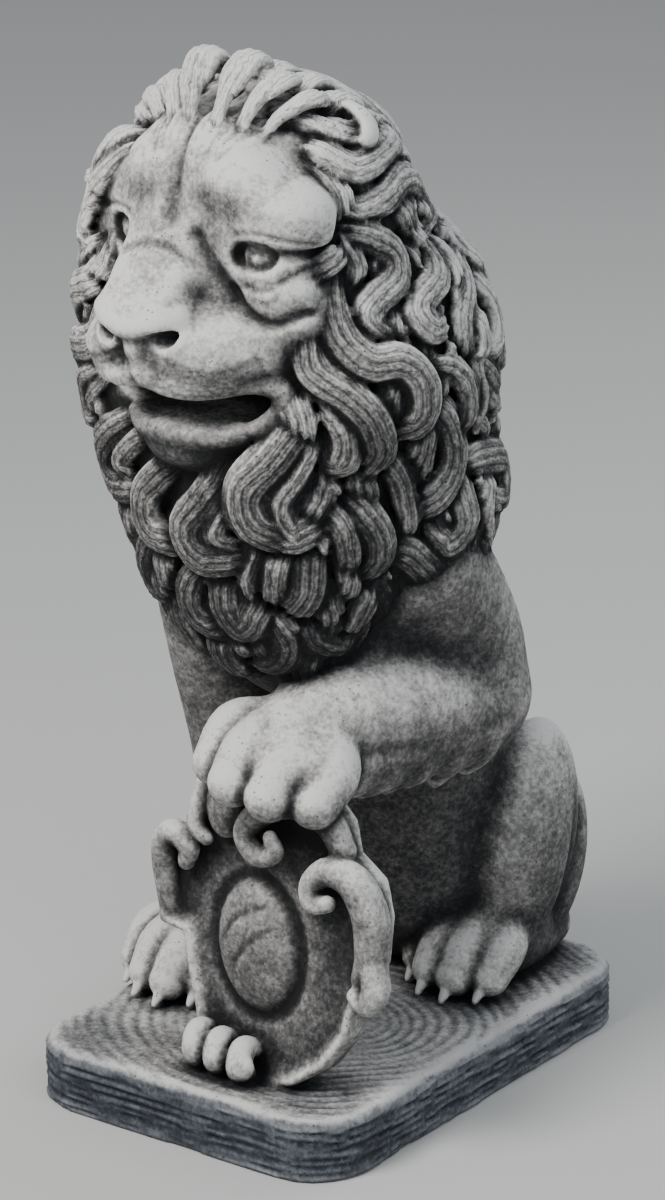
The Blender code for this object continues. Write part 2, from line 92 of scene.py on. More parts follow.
# The mane's mass: a centre and three radii for each of its ellipsoids, and how softly they run together.
MANE_BLEND = 25.0
MANE = (
    ((-6, -69, 583), (93, 92, 88)),
    ((-9, -98, 545), (84, 60, 72)),
    ((-2, -34, 480), (125, 125, 114)),
    ((-2, -12, 390), (119, 106, 92)),
    ((-4, -84, 402), (95, 64, 100)),
    ((2, -76, 338), (72, 52, 66)),
    ((-86, -100, 520), (26, 38, 112)),
)
# The mane's axis leans forward from this height up.
AXIS_FOOT, AXIS_RISE, AXIS_LEAN = 330, 270, 65

# Each hind toe, out from the middle and from front to back.
HIND_TOES = ((32, 62), (52, 46), (74, 43), (94, 56))
STANDING_TOES = ((-129, -58), (-109, -74), (-86, -80), (-66, -66))
RAISED_TOES = ((2, -136, 222), (27, -152, 218), (57, -152, 214), (83, -136, 210))
FRINGE_STRANDS = 15

SHIELD_THICKNESS, SHIELD_DISH = 24, 8
SHIELD_OUTLINE = (
    (-89, 156), (-90, 120), (-86, 90), (-66, 87), (-58, 60), (-48, 30), (-43, 0), (-20, -8),
    (10, -8), (36, 2), (60, 20), (76, 44), (82, 76), (94, 100), (94, 132), (86, 156),
    (64, 170), (58, 190), (40, 206), (-20, 208), (-58, 206), (-60, 162),
)

# How far, in millimetres, the clay is smoothed to find its fine cavities, its broad hollows and its hair, and
# where the stone that overhangs a point is looked for. Shade is painted into the cavities, the hollows and
# under the overhang, which also stands for shelter from the rain.
FINE_BLUR, BROAD_BLUR, HAIR_BLUR = 3.0, 11.0, 2.0
OVERHANG_AT = (0, -10, 32.0)

# Colours of the stone and of the slab, from the darkest, where shade is painted and grime lies, to the
# palest, where the stone is worn and painted light falls.
STONE_TONES = (
    (0.12, (0.007, 0.007, 0.008)),
    (0.30, (0.034, 0.034, 0.036)),
    (0.46, (0.115, 0.112, 0.109)),
    (0.62, (0.300, 0.293, 0.282)),
    (0.86, (0.760, 0.748, 0.724)),
)
SLAB_TONES = (
    (0.08, (0.007, 0.008, 0.011)),
    (0.32, (0.036, 0.042, 0.054)),
    (0.55, (0.100, 0.112, 0.134)),
    (0.90, (0.230, 0.245, 0.265)),
)
PIT_COLOUR = (0.012, 0.012, 0.013, 1)

# The studio, in metres: each light's name, place, size, power and colour.
FLOOR_HALF = 30.0
LIT_MIDDLE = (0, 0, 0.4)
LIGHTS = (
    ("soft_key", (-0.5, -1.9, 2.3), 1.1, 70, (1.0, 0.985, 0.96)),
    ("sky_fill", (1.9, -0.9, 1.9), 2.0, 16, (0.9, 0.95, 1.0)),
    ("back_rim", (0.6, 2.0, 1.9), 1.6, 18, (0.93, 0.97, 1.0)),
)

# A cell's eight corners on the grid.
CORNERS = [(c & 1, c >> 1 & 1, c >> 2 & 1) for c in range(8)]


def turned(degrees):
    """The rotation for three angles in degrees."""
    return np.array(Euler([math.radians(a) for a in degrees]).to_matrix())


def sided(s, points):
    """Points given for the lion's left, moved to a side."""
    return [(s * point[0], *point[1:]) for point in points]


def dot(a, b):
    return a[0] * b[0] + a[1] * b[1] + a[2] * b[2]


def curve(points, count):
    """Points along a Catmull-Rom curve through the given ones, the values beside them included."""
    p = np.array(points, float)
    p = np.vstack([2 * p[0] - p[1], p, 2 * p[-1] - p[-2]])
    out = []
    for s in np.linspace(0, len(points) - 1, count):
        i = min(int(s), len(points) - 2)
        t = s - i
        a, b, c, d = p[i:i + 4]
        square, cube = 2 * a - 5 * b + 4 * c - d, 3 * b - a - 3 * c + d
        out.append(0.5 * (2 * b + (c - a) * t + square * t ** 2 + cube * t ** 3))
    return np.array(out)


def beside(a, b, p):
    """How far along a to b grid points lie, from 0 to 1, and their offsets from that line."""
    way = b - a
    q = [p[k] - a[k] for k in range(3)]
    t = np.clip(dot(q, way) / max(way @ way, TINY), 0, 1)
    return t, [q[k] - t * way[k] for k in range(3)]


def flat_gap(a, c, start, end):
    """The squared distances from points across and up to the line between two."""
    (a0, c0), (a1, c1) = start, end
    ea, ec = a1 - a0, c1 - c0
    t = np.clip(((a - a0) * ea + (c - c0) * ec) / max(ea * ea + ec * ec, TINY), 0, 1)
    return (a - a0 - t * ea) ** 2 + (c - c0 - t * ec) ** 2


def rounded(u, v, by):
    """The distance from an edge where two faces at distances u and v meet, rounded by a radius."""
    u, v = u + by, v + by
    return np.minimum(np.maximum(u, v), 0) + np.sqrt(np.maximum(u, 0) ** 2 + np.maximum(v, 0) ** 2) - by


def corner_views(grid):
    """The grid as seen from each of its cells' eight corners."""
    n = np.array(grid.shape) - 1
    return [grid[x:n[0] + x, y:n[1] + y, z:n[2] + z] for x, y, z in CORNERS]


def split_patterns():
    """Marks the cell patterns whose corners inside, or outside, aren't all joined by the cell's edges."""
    edges = [(a, a | bit) for a in range(8) for bit in (1, 2, 4) if not a & bit]
    split = np.zeros(256, bool)
    for code in range(1, 255):
        for kind in (0, 1):
            group = {c: c for c in range(8) if (code >> c & 1) == kind}
            for _ in range(8):
                for a, b in edges:
                    if a in group and b in group:
                        group[a] = group[b] = min(group[a], group[b])
            split[code] |= len(set(group.values())) > 1
    return split


class Clay:
    """A block of grid points that each hold their distance from the surface, less than 0 inside."""

    def __init__(self, low, high, step):
        self.low, self.step = np.array(low, float), float(step)
        shape = np.ceil((np.array(high) - self.low) / step).astype(int) + 1
        self.field = np.full(shape, FAR, np.float32)
        self.strand = np.zeros(shape, np.float32)
        self.base = self.field

    def keep_base(self):
        """Takes the clay as it stands for the floor of every moat."""
        self.base = self.field.copy()

    def window(self, low, high):
        """The part of the grid between two corners, and its points' coordinates."""
        a = np.floor((np.array(low) - self.low) / self.step).astype(int)
        b = np.ceil((np.array(high) - self.low) / self.step).astype(int) + 1
        a, b = np.clip(a, 0, self.field.shape), np.clip(b, 0, self.field.shape)
        where = tuple(slice(*ab) for ab in zip(a, b))
        axes = [(self.low[i] + self.step * np.arange(a[i], b[i])).astype(np.float32) for i in range(3)]
        return where, (axes[0][:, None, None], axes[1][None, :, None], axes[2][None, None, :])

    def join(self, where, distance, blend, strand=0.0):
        """Adds a form, run together softly with the clay there."""
        field = self.field[where]
        near = np.minimum(field, distance)
        if blend:
            near -= np.maximum(blend - np.abs(field - distance), 0) ** 2 / (4 * blend)
        self.strand[where] = np.where(distance < field, strand, self.strand[where])
        self.field[where] = near

    def cut(self, where, distance, blend):
        """Takes a form away."""
        field = self.field[where]
        far = np.maximum(field, -distance)
        if blend:
            far += np.maximum(blend - np.abs(field + distance), 0) ** 2 / (4 * blend)
        self.field[where] = far

    def press(self, where, depth, best, width, mask=1):
        """Sinks a soft line into the clay, from the squared distances to it."""
        self.field[where] += (depth * np.exp(-best / width ** 2) * mask).astype(np.float32)

    def ball(self, centre, radii, turn=(0, 0, 0), blend=10.0, cut=False, frame=None):
        """An ellipsoid."""
        radii = np.array(radii, float) * np.ones(3)
        centre = np.array(centre, float)
        rotation = turned(turn)
        if frame is not None:
            centre, rotation = frame.place(centre), frame.axes @ rotation
        reach = np.sqrt((rotation ** 2) @ (radii ** 2)) + blend + 3 * self.step
        where, p = self.window(centre - reach, centre + reach)
        q = [p[i] - centre[i] for i in range(3)]
        local = [dot(rotation[:, i], q) for i in range(3)]
        k0 = np.sqrt(sum((local[i] / radii[i]) ** 2 for i in range(3)))
        k1 = np.sqrt(sum((local[i] / radii[i] ** 2) ** 2 for i in range(3))) + TINY
        (self.cut if cut else self.join)(where, k0 * (k0 - 1) / k1, blend)

    def limb(self, points, radii, blend=8.0, cut=False, frame=None):
        """A round limb through points, with a radius at each."""
        path = curve([[*p, r] for p, r in zip(points, radii)], max(2, 5 * (len(points) - 1) + 1))
        if frame is not None:
            path[:, :3] = frame.place(path[:, :3])
        reach = path[:, 3].max() + blend + 3 * self.step
        where, p = self.window(path[:, :3].min(0) - reach, path[:, :3].max(0) + reach)
        best = np.full(self.field[where].shape, FAR, np.float32)
        for a, b in zip(path, path[1:]):
            t, gap = beside(a[:3], b[:3], p)
            np.minimum(best, np.sqrt(sum(g ** 2 for g in gap)) - (a[3] + t * (b[3] - a[3])), out=best)
        (self.cut if cut else self.join)(where, best, blend)

    def slab(self, outline, thickness, round_by, dish, frame, blend, margin=12):
        """A plate with an outline across and up in its frame; dish sinks its face inside the rim."""
        poly = np.array(outline, float)
        (a0, c0), (a1, c1) = poly.min(0) - margin, poly.max(0) + margin
        corners = [(a, b, c) for a in (a0, a1) for b in (-thickness, thickness) for c in (c0, c1)]
        world = frame.place(corners)
        where, p = self.window(world.min(0), world.max(0))
        a, b, c = frame.local(p)
        best = np.full(self.field[where].shape, FAR ** 2)
        inside = np.zeros(best.shape, bool)
        for start, end in zip(poly, np.roll(poly, -1, 0)):
            best = np.minimum(best, flat_gap(a, c, start, end))
            (x0, z0), (x1, z1) = start, end
            if z1 != z0:
                inside ^= ((c > z0) != (c > z1)) & (a < x0 + (c - z0) * (x1 - x0) / (z1 - z0))
        d = np.sqrt(best) * np.where(inside, -1, 1)
        rim = 16
        sunk = np.clip(-d / rim, 0, 1)
        front = thickness / 2 - dish * sunk * sunk * (3 - 2 * sunk)
        d = rounded(d, np.maximum(b - front, -b - thickness / 2), round_by)
        self.join(where, d.astype(np.float32), blend)

    def groove(self, points, width, depth, frame=None, reach=2.6):
        """A soft line pressed into the clay along points."""
        path = curve(points, max(2, 4 * (len(points) - 1) + 1))
        if frame is not None:
            path = frame.place(path)
        r = width * reach
        where, p = self.window(path.min(0) - r, path.max(0) + r)
        best = np.full(self.field[where].shape, FAR ** 2, np.float32)
        for a, b in zip(path, path[1:]):
            np.minimum(best, sum(g ** 2 for g in beside(a, b, p)[1]), out=best)
        self.press(where, depth, best, width)

    def draw(self, points, width, depth, frame, reach=2.6, back=-70, ahead=50):
        """A soft line pressed into the face along points across and up, as seen from straight ahead."""
        path = curve(points, max(2, 5 * (len(points) - 1) + 1))
        low, high = path.min(0) - width * reach, path.max(0) + width * reach
        corners = [(a, b, c) for a in (low[0], high[0]) for b in (back, ahead) for c in (low[1], high[1])]
        world = frame.place(corners)
        where, p = self.window(world.min(0), world.max(0))
        a, b, c = frame.local(p)
        best = np.full(self.field[where].shape, FAR ** 2, np.float32)
        for start, end in zip(path, path[1:]):
            np.minimum(best, flat_gap(a, c, start, end), out=best)
        self.press(where, depth, best, width, b > back - 2)

    def sample(self, grid, points):
        """A grid's values at points, in between its own."""
        s = (np.asarray(points, float) - self.low) / self.step
        s = np.clip(s, 0, np.array(grid.shape) - 1.001)
        i = s.astype(int)
        t = s - i
        out = 0
        for corner in np.ndindex(2, 2, 2):
            w = [t[:, k] if corner[k] else 1 - t[:, k] for k in range(3)]
            out = out + w[0] * w[1] * w[2] * grid[tuple((i + corner).T)]
        return out

    def lock(self, path, normals, widths, heights, blend=1.0, moat=4.0, moat_width=3.2, floor=1.0):
        """A lock of hair with its half width and half height at each point, in a moat down to the mass."""
        path, normals = np.asarray(path, float), np.asarray(normals, float)
        tangents = np.gradient(path, axis=0)
        tangents /= np.linalg.norm(tangents, axis=1)[:, None] + TINY
        sides = np.cross(tangents, normals)
        sides /= np.linalg.norm(sides, axis=1)[:, None] + TINY
        ups = np.cross(sides, tangents)
        widest = max(np.max(widths), np.max(heights)) + blend + 3 * self.step
        where, _ = self.window(path.min(0) - widest, path.max(0) + widest)
        best = np.full(self.field[where].shape, FAR, np.float32)
        across = np.zeros(best.shape, np.float32)
        for i in range(len(path) - 1):
            a, b = path[i], path[i + 1]
            sub, p = self.window(np.minimum(a, b) - widest, np.maximum(a, b) + widest)
            inner = tuple(slice(s.start - o.start, s.stop - o.start) for s, o in zip(sub, where))
            t, q = beside(a, b, p)
            side = [sides[i][k] + t * (sides[i + 1][k] - sides[i][k]) for k in range(3)]
            up = [ups[i][k] + t * (ups[i + 1][k] - ups[i][k]) for k in range(3)]
            w = widths[i] + t * (widths[i + 1] - widths[i])
            h = heights[i] + t * (heights[i + 1] - heights[i])
            s = dot(q, side) / w
            u = dot(q, up) / h
            rest = np.maximum(sum(g ** 2 for g in q) - (s * w) ** 2 - (u * h) ** 2, 0)
            k0 = np.sqrt(s ** 2 + u ** 2 + rest / (w * h))
            k1 = np.sqrt((s / w) ** 2 + (u / h) ** 2 + rest / (w * h) ** 1.5 / np.sqrt(w * h)) + 1e-6
            d = (k0 * (k0 - 1) / k1).astype(np.float32)
            closer = d < best[inner]
            best[inner] = np.where(closer, d, best[inner])
            across[inner] = np.where(closer, s * w, across[inner])
        field = self.field[where]
        sunk = field + moat * np.exp(-(np.clip(best, 0, None) / moat_width) ** 2)
        self.field[where] = np.maximum(field, np.minimum(sunk, self.base[where] + floor))
        self.join(where, best, blend, across + STRAND_BASE)

    def soften(self, low, high, rounds):
        """Melts slivers thinner than the grid's step."""
        where, _ = self.window(low, high)
        part = self.field[where]
        for _ in range(rounds):
            for axis in range(3):
                part = np.moveaxis(part, axis, 0)
                part[1:-1] = 0.25 * part[:-2] + 0.5 * part[1:-1] + 0.25 * part[2:]
                part = np.moveaxis(part, 0, axis)

    def score(self, pitch=6.4, depth=1.5, skin=12):
        """Cuts the fine grooves along every lock."""
        on = (self.strand > 0) & (np.abs(self.field) < skin)
        self.field[on] += depth * (0.5 + 0.5 * np.cos(2 * math.pi / pitch * (self.strand[on] - STRAND_BASE)))

    def mend(self, rounds=40, barely=-1e-3):
        """Fills the odd corners where the surface would touch itself."""
        split = split_patterns()
        for _ in range(rounds):
            code = np.zeros(np.array(self.field.shape) - 1, np.uint8)
            for c, view in enumerate(corner_views(self.field < 0)):
                code |= (view << c).astype(np.uint8)
            spots = np.argwhere(split[code])
            if not len(spots):
                return
            least, pick = np.full(len(spots), -1.0, np.float32), spots
            for step in CORNERS:
                corner = spots + step
                value = self.field[tuple(corner.T)]
                least = np.where((value > 0) & ((least <= 0) | (value < least)), value, least)
                pick = np.where(((value > 0) & (value == least))[:, None], corner, pick)
            self.field[tuple(pick.T)] = barely

    def mesh(self):
        """Vertices and quads of the surface, one vertex for each cell that it crosses."""
        self.mend()
        f = self.field
        inside = f < 0
        n = np.array(f.shape) - 1
        count = sum(view.astype(np.uint8) for view in corner_views(inside))
        cells = np.argwhere((count > 0) & (count < 8))
        index = np.full(n, -1, np.int32)
        index[tuple(cells.T)] = np.arange(len(cells))
        total = np.zeros((len(cells), 3))
        hits = np.zeros(len(cells))
        for corner in CORNERS:
            for axis in range(3):
                if corner[axis]:
                    continue
                pa = cells + corner
                pb = pa.copy()
                pb[:, axis] += 1
                va, vb = f[tuple(pa.T)], f[tuple(pb.T)]
                cross = (va < 0) != (vb < 0)
                point = pa.astype(float)
                point[:, axis] += np.where(cross, va / np.where(cross, va - vb, 1), 0)
                total += np.where(cross[:, None], point, 0)
                hits += cross
        points = total / hits[:, None] * self.step + self.low
        quads = []
        for axis, (i, j) in enumerate(((1, 2), (2, 0), (0, 1))):
            before, after = [slice(None)] * 3, [slice(None)] * 3
            before[axis], after[axis] = slice(0, -1), slice(1, None)
            spots = np.argwhere(inside[tuple(before)] != inside[tuple(after)])
            spots = spots[(spots[:, i] > 0) & (spots[:, j] > 0) & (spots[:, i] < n[i]) & (spots[:, j] < n[j])]
            leaving = inside[tuple(spots.T)]
            around = []
            for di, dj in ((-1, -1), (0, -1), (0, 0), (-1, 0)):
                cell = spots.copy()
                cell[:, i] += di
                cell[:, j] += dj
                around.append(index[tuple(cell.T)])
            quad = np.stack(around, 1)
            quad[~leaving] = quad[~leaving][:, ::-1]
            quads.append(quad)
        return points, np.vstack(quads)


class Frame:
    """A local frame: across to the lion's left, forward, up."""

    def __init__(self, origin, heading=0.0, lean=0.0):
        a, p = math.radians(heading), math.radians(lean)
        left = np.array([math.cos(a), math.sin(a), 0])
        ahead = np.array([math.sin(a), -math.cos(a), 0])
        up = np.array([0, 0, 1.0])
        forward = ahead * math.cos(p) + up * math.sin(p)
        self.axes = np.stack([left, forward, up * math.cos(p) - ahead * math.sin(p)], 1)
        self.origin = np.array(origin, float)

    def place(self, p):
        return np.asarray(p, float) @ self.axes.T + self.origin

    def local(self, p):
        """Grid points across, forward and up in this frame."""
        q = [p[i] - self.origin[i] for i in range(3)]
        return [dot(self.axes[:, k], q) for k in range(3)]


HEAD_MIDDLE = (-12, -165, 597)
HEAD = Frame(HEAD_MIDDLE, -3)
FAR_HEAD = Frame(HEAD_MIDDLE, -11)
FACE_SIDES = ((-FAR_SIDE, FAR_HEAD), (1, HEAD))
SHIELD = Frame((37, -138, 0), 0, 8)


def mane_distance(p):
    """How far points lie outside the mane's mass."""
    p = np.asarray(p, float)
    total = None
    for centre, radii in MANE:
        q = p - np.array(centre, float)
        r = np.array(radii, float)
        k0 = np.linalg.norm(q / r, axis=-1)
        k1 = np.linalg.norm(q / r ** 2, axis=-1) + TINY
        d = k0 * (k0 - 1) / k1
        if total is None:
            total = d
        else:
            soft = np.maximum(MANE_BLEND - np.abs(total - d), 0) ** 2 / (4 * MANE_BLEND)
            total = np.minimum(total, d) - soft
    return total


def mane_normal(p):
    """The way straight out of the mane's mass."""
    g = np.array([mane_distance(p + s) - mane_distance(p - s) for s in np.eye(3)])
    return g / (np.linalg.norm(g) + TINY)


def settled(p):
    """A point moved straight in or out to the mane's surface."""
    return p - mane_normal(p) * mane_distance(p)


def on_mane(angle, height, reach=220.0, halvings=18):
    """The point of the mane at a height, seen at an angle from its axis, 0 being ahead."""
    a = math.radians(angle)
    way = np.array([math.sin(a), -math.cos(a), 0.0])
    lean = AXIS_LEAN * min(max((height - AXIS_FOOT) / AXIS_RISE, 0), 1.3)
    base = np.array([0.0, -10 - lean, height])
    low, high = 0.0, reach
    for _ in range(halvings):
        middle = (low + high) / 2
        if mane_distance(base + way * middle) > 0:
            high = middle
        else:
            low = middle
    return base + way * low


def laid(path, width, rise, thick=0.6):
    """A lock on a path over the mane: sunk at its root, full in the middle, its tip curled in."""
    path = np.array(path, float)
    normals = np.array([mane_normal(p) for p in path])
    t = np.linspace(0, 1, len(path))
    up = np.interp(t, [0, 0.15, 0.45, 0.8, 1], [rise - 9, rise - 2, rise, rise + 1, rise - 2])
    wide = width * np.interp(t, [0, 0.12, 0.35, 0.75, 0.92, 1], [0.4, 0.78, 1.0, 1.0, 0.85, 0.5])
    return path + normals * up[:, None], normals, wide, wide * thick


def sight(px, py):
    """The photograph's line of sight through one of its pixels, from its camera, in the figure's frame."""
    right = np.array([math.cos(PHOTO_HEADING), math.sin(PHOTO_HEADING), 0.0])
    back = np.array(PHOTO_BACK)
    up = np.cross(back, right)
    way = right * (px - PHOTO_WIDE / 2) / PHOTO_FOCUS - up * (py - PHOTO_HIGH / 2) / PHOTO_FOCUS - back
    eye = np.array(PHOTO_TARGET) + back * PHOTO_DISTANCE - np.array([0, 0, PLINTH_THICKNESS])
    return eye, way / np.linalg.norm(way)


def on_mane_seen(px, py, clear=8.0, ahead=400, behind=300, pace=2.0):
    """Where the line of sight through a pixel meets the mane, or passes it closest."""
    eye, way = sight(px, py)
    reach = np.arange(PHOTO_DISTANCE - ahead, PHOTO_DISTANCE + behind, pace)
    points = eye + way * reach[:, None]
    gap = mane_distance(points) - clear
    inside = np.nonzero(gap < 0)[0]
    p = points[inside[0]] if len(inside) else points[np.argmin(gap)]
    for _ in range(3):
        p = settled(p)
    return p


def traced(pixels, width, rise, pace=7.0):
    """A lock that follows pixels of the photograph over the mane, made fuller and laid lower."""
    spots = [on_mane_seen(px, py) for px, py in pixels]
    length = sum(np.linalg.norm(b - a) for a, b in zip(spots, spots[1:]))
    path = curve(spots, max(6, int(length / pace)))
    return np.array([settled(p) for p in path]), 1.3 * width, 0.65 * rise


def comb(angle, height, length, headings, width, rise, side, pace=9.0, brow=600):
    """A lock combed along the mane; headings are degrees from straight down, towards side and back."""
    count = max(6, int(length / pace))
    turn = curve([[h] for h in headings], count + 1)[:, 0]
    p = on_mane(side * angle, height)
    path = []
    for i in range(count + 1):
        out = mane_normal(p)
        path.append(p)
        down = np.array([0.0, min(max((p[2] - brow) / 70, 0), 1.2), -1.0])
        down -= out * (down @ out)
        down /= np.linalg.norm(down) + TINY
        across = np.cross(out, down)
        if across[0] * out[1] > across[1] * out[0]:
            across = -across
        h = math.radians(turn[i])
        p = settled(p + (down * math.cos(h) + across * side * math.sin(h)) * length / count)
    return laid(path, width, rise)


# Rows of locks from the back round both sides: height, and degrees to either side of straight behind.
BACK_ROWS = (
    (655, 130), (622, 118), (585, 96), (545, 92), (503, 92), (461, 92), (420, 92), (382, 90), (345, 88),
)
# Rows beneath the waves in front: height, degrees to either side of ahead, and degrees left free there.
FRONT_ROWS = (
    (640, 100, 64), (600, 100, 62), (560, 100, 60), (520, 98, 54), (480, 98, 44), (440, 98, 26),
    (400, 98, 0), (362, 95, 0), (332, 70, 0),
)
TOP_PITCH, BACK_PITCH, FRONT_PITCH = 24, 17, 15

# Locks that the photograph shows, each with its half width, its rise and the pixels it runs through.
SIDE_LOCKS = (
    (9, 6, (441, 217), (458, 250), (469, 284), (464, 320), (472, 357)),
    (10, 7, (492, 300), (510, 326), (511, 354), (500, 375)),
    (9, 7, (452, 194), (470, 225), (486, 262), (492, 300)),
    (10, 8, (497, 376), (517, 402), (522, 432), (508, 455)),
    (8, 8, (475, 357), (494, 376), (497, 404), (489, 425)),
    (8, 7, (469, 415), (486, 424), (487, 446), (469, 466)),
    (12, 8, (470, 470), (482, 458), (505, 458), (520, 484), (512, 505), (488, 502)),
    (11, 7, (478, 510), (494, 540), (492, 572), (469, 592), (455, 578)),
    (11, 8, (468, 470), (464, 497), (466, 525), (447, 547), (430, 533)),
    (11, 7, (500, 500), (512, 525), (505, 550), (498, 570)),
    (11, 9, (433, 396), (452, 424), (455, 458), (441, 491), (416, 514)),
    (8, 10, (424, 368), (447, 365), (466, 382), (469, 413), (461, 432)),
    (9, 9, (385, 95), (410, 118), (428, 150), (446, 190)),
    (8, 8, (400, 112), (424, 140), (440, 165), (452, 200)),
    (10, 10, (410, 222), (430, 250), (436, 278), (416, 306), (430, 328), (446, 323)),
    (8, 10, (301, 116), (332, 110), (363, 121), (384, 143)),
    (9, 11, (307, 138), (326, 152), (352, 168), (374, 160), (389, 140), (382, 126)),
    (9, 10, (335, 200), (360, 212), (385, 200), (402, 178), (422, 184), (431, 208), (427, 228)),
    (10, 11, (338, 230), (371, 237), (394, 253), (396, 280), (371, 304), (368, 322), (391, 338)),
    (8, 8, (382, 452), (400, 474), (408, 508), (410, 547)),
    (10, 11, (301, 380), (326, 402), (347, 430), (346, 458), (329, 466)),
    (11, 12, (324, 300), (308, 340), (315, 372), (346, 393), (369, 416), (381, 446), (372, 472)),
    (11, 13, (335, 250), (331, 300), (341, 337), (367, 363), (400, 361), (421, 385), (419, 418), (400, 434)),
)
BEARD_LOCKS = (
    (9, 4, (190, 625), (185, 645), (200, 662), (212, 675)),
    (10, 5, (245, 630), (265, 618), (290, 643), (280, 667), (252, 670)),
    (9, 5, (305, 625), (317, 645), (342, 650), (352, 635)),
    (10, 6, (370, 575), (390, 603), (384, 632), (365, 640)),
    (9, 6, (397, 625), (425, 615), (447, 612), (430, 637)),
    (11, 8, (385, 572), (406, 553), (433, 579), (424, 607), (404, 598)),
    (11, 6, (200, 560), (187, 592), (200, 620), (232, 632)),
    (12, 7, (222, 570), (224, 603), (243, 628), (258, 606)),
    (11, 7, (287, 545), (281, 575), (279, 608)),
    (11, 7, (311, 548), (308, 590), (294, 614)),
    (9, 8, (330, 506), (348, 530), (355, 574)),
    (10, 8, (349, 495), (371, 519), (382, 547), (372, 580)),
    (9, 7, (155, 528), (142, 545), (147, 580), (165, 602)),
    (9, 8, (152, 425), (126, 445), (117, 462), (130, 482)),
    (10, 9, (130, 415), (103, 435), (100, 460), (114, 485), (138, 492)),
    (12, 10, (172, 460), (147, 490), (151, 525), (182, 546)),
    (11, 11, (238, 462), (226, 500), (212, 535), (240, 556)),
    (12, 11, (222, 466), (203, 500), (187, 527), (204, 556), (238, 560)),
    (11, 10, (290, 396), (300, 430), (292, 462)),
    (12, 12, (312, 428), (295, 465), (272, 500), (285, 535), (314, 530)),
    (13, 12, (302, 420), (276, 455), (248, 487), (253, 520), (284, 542)),
)
# The far side of the face, where the photograph shows only the mane's edge.
EDGE_LOCKS = (
    (9, 8, (134, 137), (112, 160), (96, 180), (80, 196)),
    (9, 8, (96, 190), (82, 205), (80, 235), (86, 262)),
    (9, 8, (92, 235), (80, 262), (82, 300), (90, 325)),
    (9, 8, (96, 300), (82, 330), (84, 365), (97, 385)),
    (10, 8, (104, 360), (84, 392), (82, 420), (98, 440)),
)


def row_angles(row, reach, pitch):
    """The place in a row and the angle of each of its locks, a half step aside in every second row."""
    count = int(reach / pitch)
    places = [(i, (i + row % 2 * 0.5) * reach / count) for i in range(-count, count + 1)]
    return [(i, angle) for i, angle in places if abs(angle) <= reach]


def back_locks():
    """Rows of hooked waves behind."""
    out = []
    for row, (height, reach) in enumerate(BACK_ROWS):
        for i, angle in row_angles(row, reach, BACK_PITCH if row else TOP_PITCH):
            sway = math.sin(row * 2.3 + i * 1.7)
            hook = 110 if sway > 0 else -110
            headings = (35 * sway, -30 * sway, 35 * sway, 0.6 * hook, hook)
            length, width = 96 + 12 * sway, 16 + 1.5 * sway
            side = 1 if angle >= 0 else -1
            out.append(comb(180 - abs(angle), height, length, headings, width, 5, side))
    return out


def front_locks():
    """Low rows in front that fill what shows between the waves."""
    out = []
    for row, (height, reach, free) in enumerate(FRONT_ROWS):
        for i, angle in row_angles(row, reach, FRONT_PITCH):
            if abs(angle) < free:
                continue
            sway = math.sin(row * 1.9 + i * 2.3)
            headings = (25 * sway, -25 * sway, 30 * sway, 80 * sway)
            side = 1 if angle >= 0 else -1
            out.append(comb(abs(angle), height, 76 + 8 * sway, headings, 15 + sway, 3, side))
    return out


def photo_locks():
    """The waves of the face's edge, the sides and the beard; the sides' waves also run over the far side."""
    out = []
    middle = -6
    for table, mirrored in ((EDGE_LOCKS, False), (SIDE_LOCKS, True), (BEARD_LOCKS, False)):
        for half, rise, *pixels in table:
            path, width, height = traced(pixels, half, rise)
            if mirrored:
                far = path * np.array([-1, 1, 1]) + np.array([middle, 0, 0])
                out.append(laid([settled(p) for p in far], width, height))
            out.append(laid(path, width, height))
    return out


def tuft(root, tip, half, roll=14.0, count=12):
    """A tuft that stands up from the forehead and rolls over at its tip, in the head's frame."""
    root = np.array(root, float)
    tip = np.array(tip, float)
    middle = (root + tip) / 2 + np.array([0, 3, 4])
    over = tip + np.array([0, -roll, -roll * 0.35])
    path = HEAD.place(curve([root, middle, tip, over], count))
    along = np.gradient(path, axis=0)
    along /= np.linalg.norm(along, axis=1)[:, None]
    outward = HEAD.axes[:, 1] + np.array([0, 0, 0.9])
    normals = outward - along * (outward @ along.T)[:, None]
    normals /= np.linalg.norm(normals, axis=1)[:, None]
    wide = half * np.interp(np.linspace(0, 1, count), [0, 0.3, 0.7, 0.9, 1], [0.45, 0.75, 1.0, 0.95, 0.5])
    return path, normals, wide, wide * 0.6


# Root, tip and half width of each tuft, from the lion's right to its left: over the forehead, then behind.
TUFTS = (
    ((-50, -58, 38), (-72, -66, 50), 12),
    ((-40, -46, 44), (-59, -58, 63), 11),
    ((-22, -34, 50), (-35, -52, 77), 11),
    ((-4, -28, 54), (-9, -50, 93), 16),
    ((14, -30, 54), (20, -58, 94), 14),
    ((28, -36, 50), (42, -63, 84), 12),
    ((38, -44, 46), (62, -70, 74), 10),
)
CREST = (
    ((-46, -84, 52), (-50, -98, 66), 15),
    ((-22, -84, 60), (-22, -100, 76), 15),
    ((4, -84, 62), (6, -102, 78), 15),
    ((30, -84, 58), (34, -102, 74), 15),
    ((54, -84, 50), (60, -100, 66), 14),
)


def ears(clay):
    for s in (-1, 1):
        clay.ball((s * 74, -96, 54), (23, 14, 15), turn=(14, s * 28, 0), blend=4, frame=HEAD)
        clay.ball((s * 76, -84, 58), (16, 10, 9), turn=(14, s * 28, 0), blend=3, cut=True, frame=HEAD)


def hair(clay):
    """Every lock, one pressed over the other, then the tufts and the strands."""
    ears(clay)
    clay.keep_base()
    for path, normals, widths, heights in back_locks() + front_locks() + photo_locks():
        clay.lock(path, normals, widths, heights)
    for root, tip, half in CREST + TUFTS:
        clay.lock(*tuft(root, tip, half))
    clay.soften((-200, -230, 240), (200, 200, 740), 2)
    clay.score()


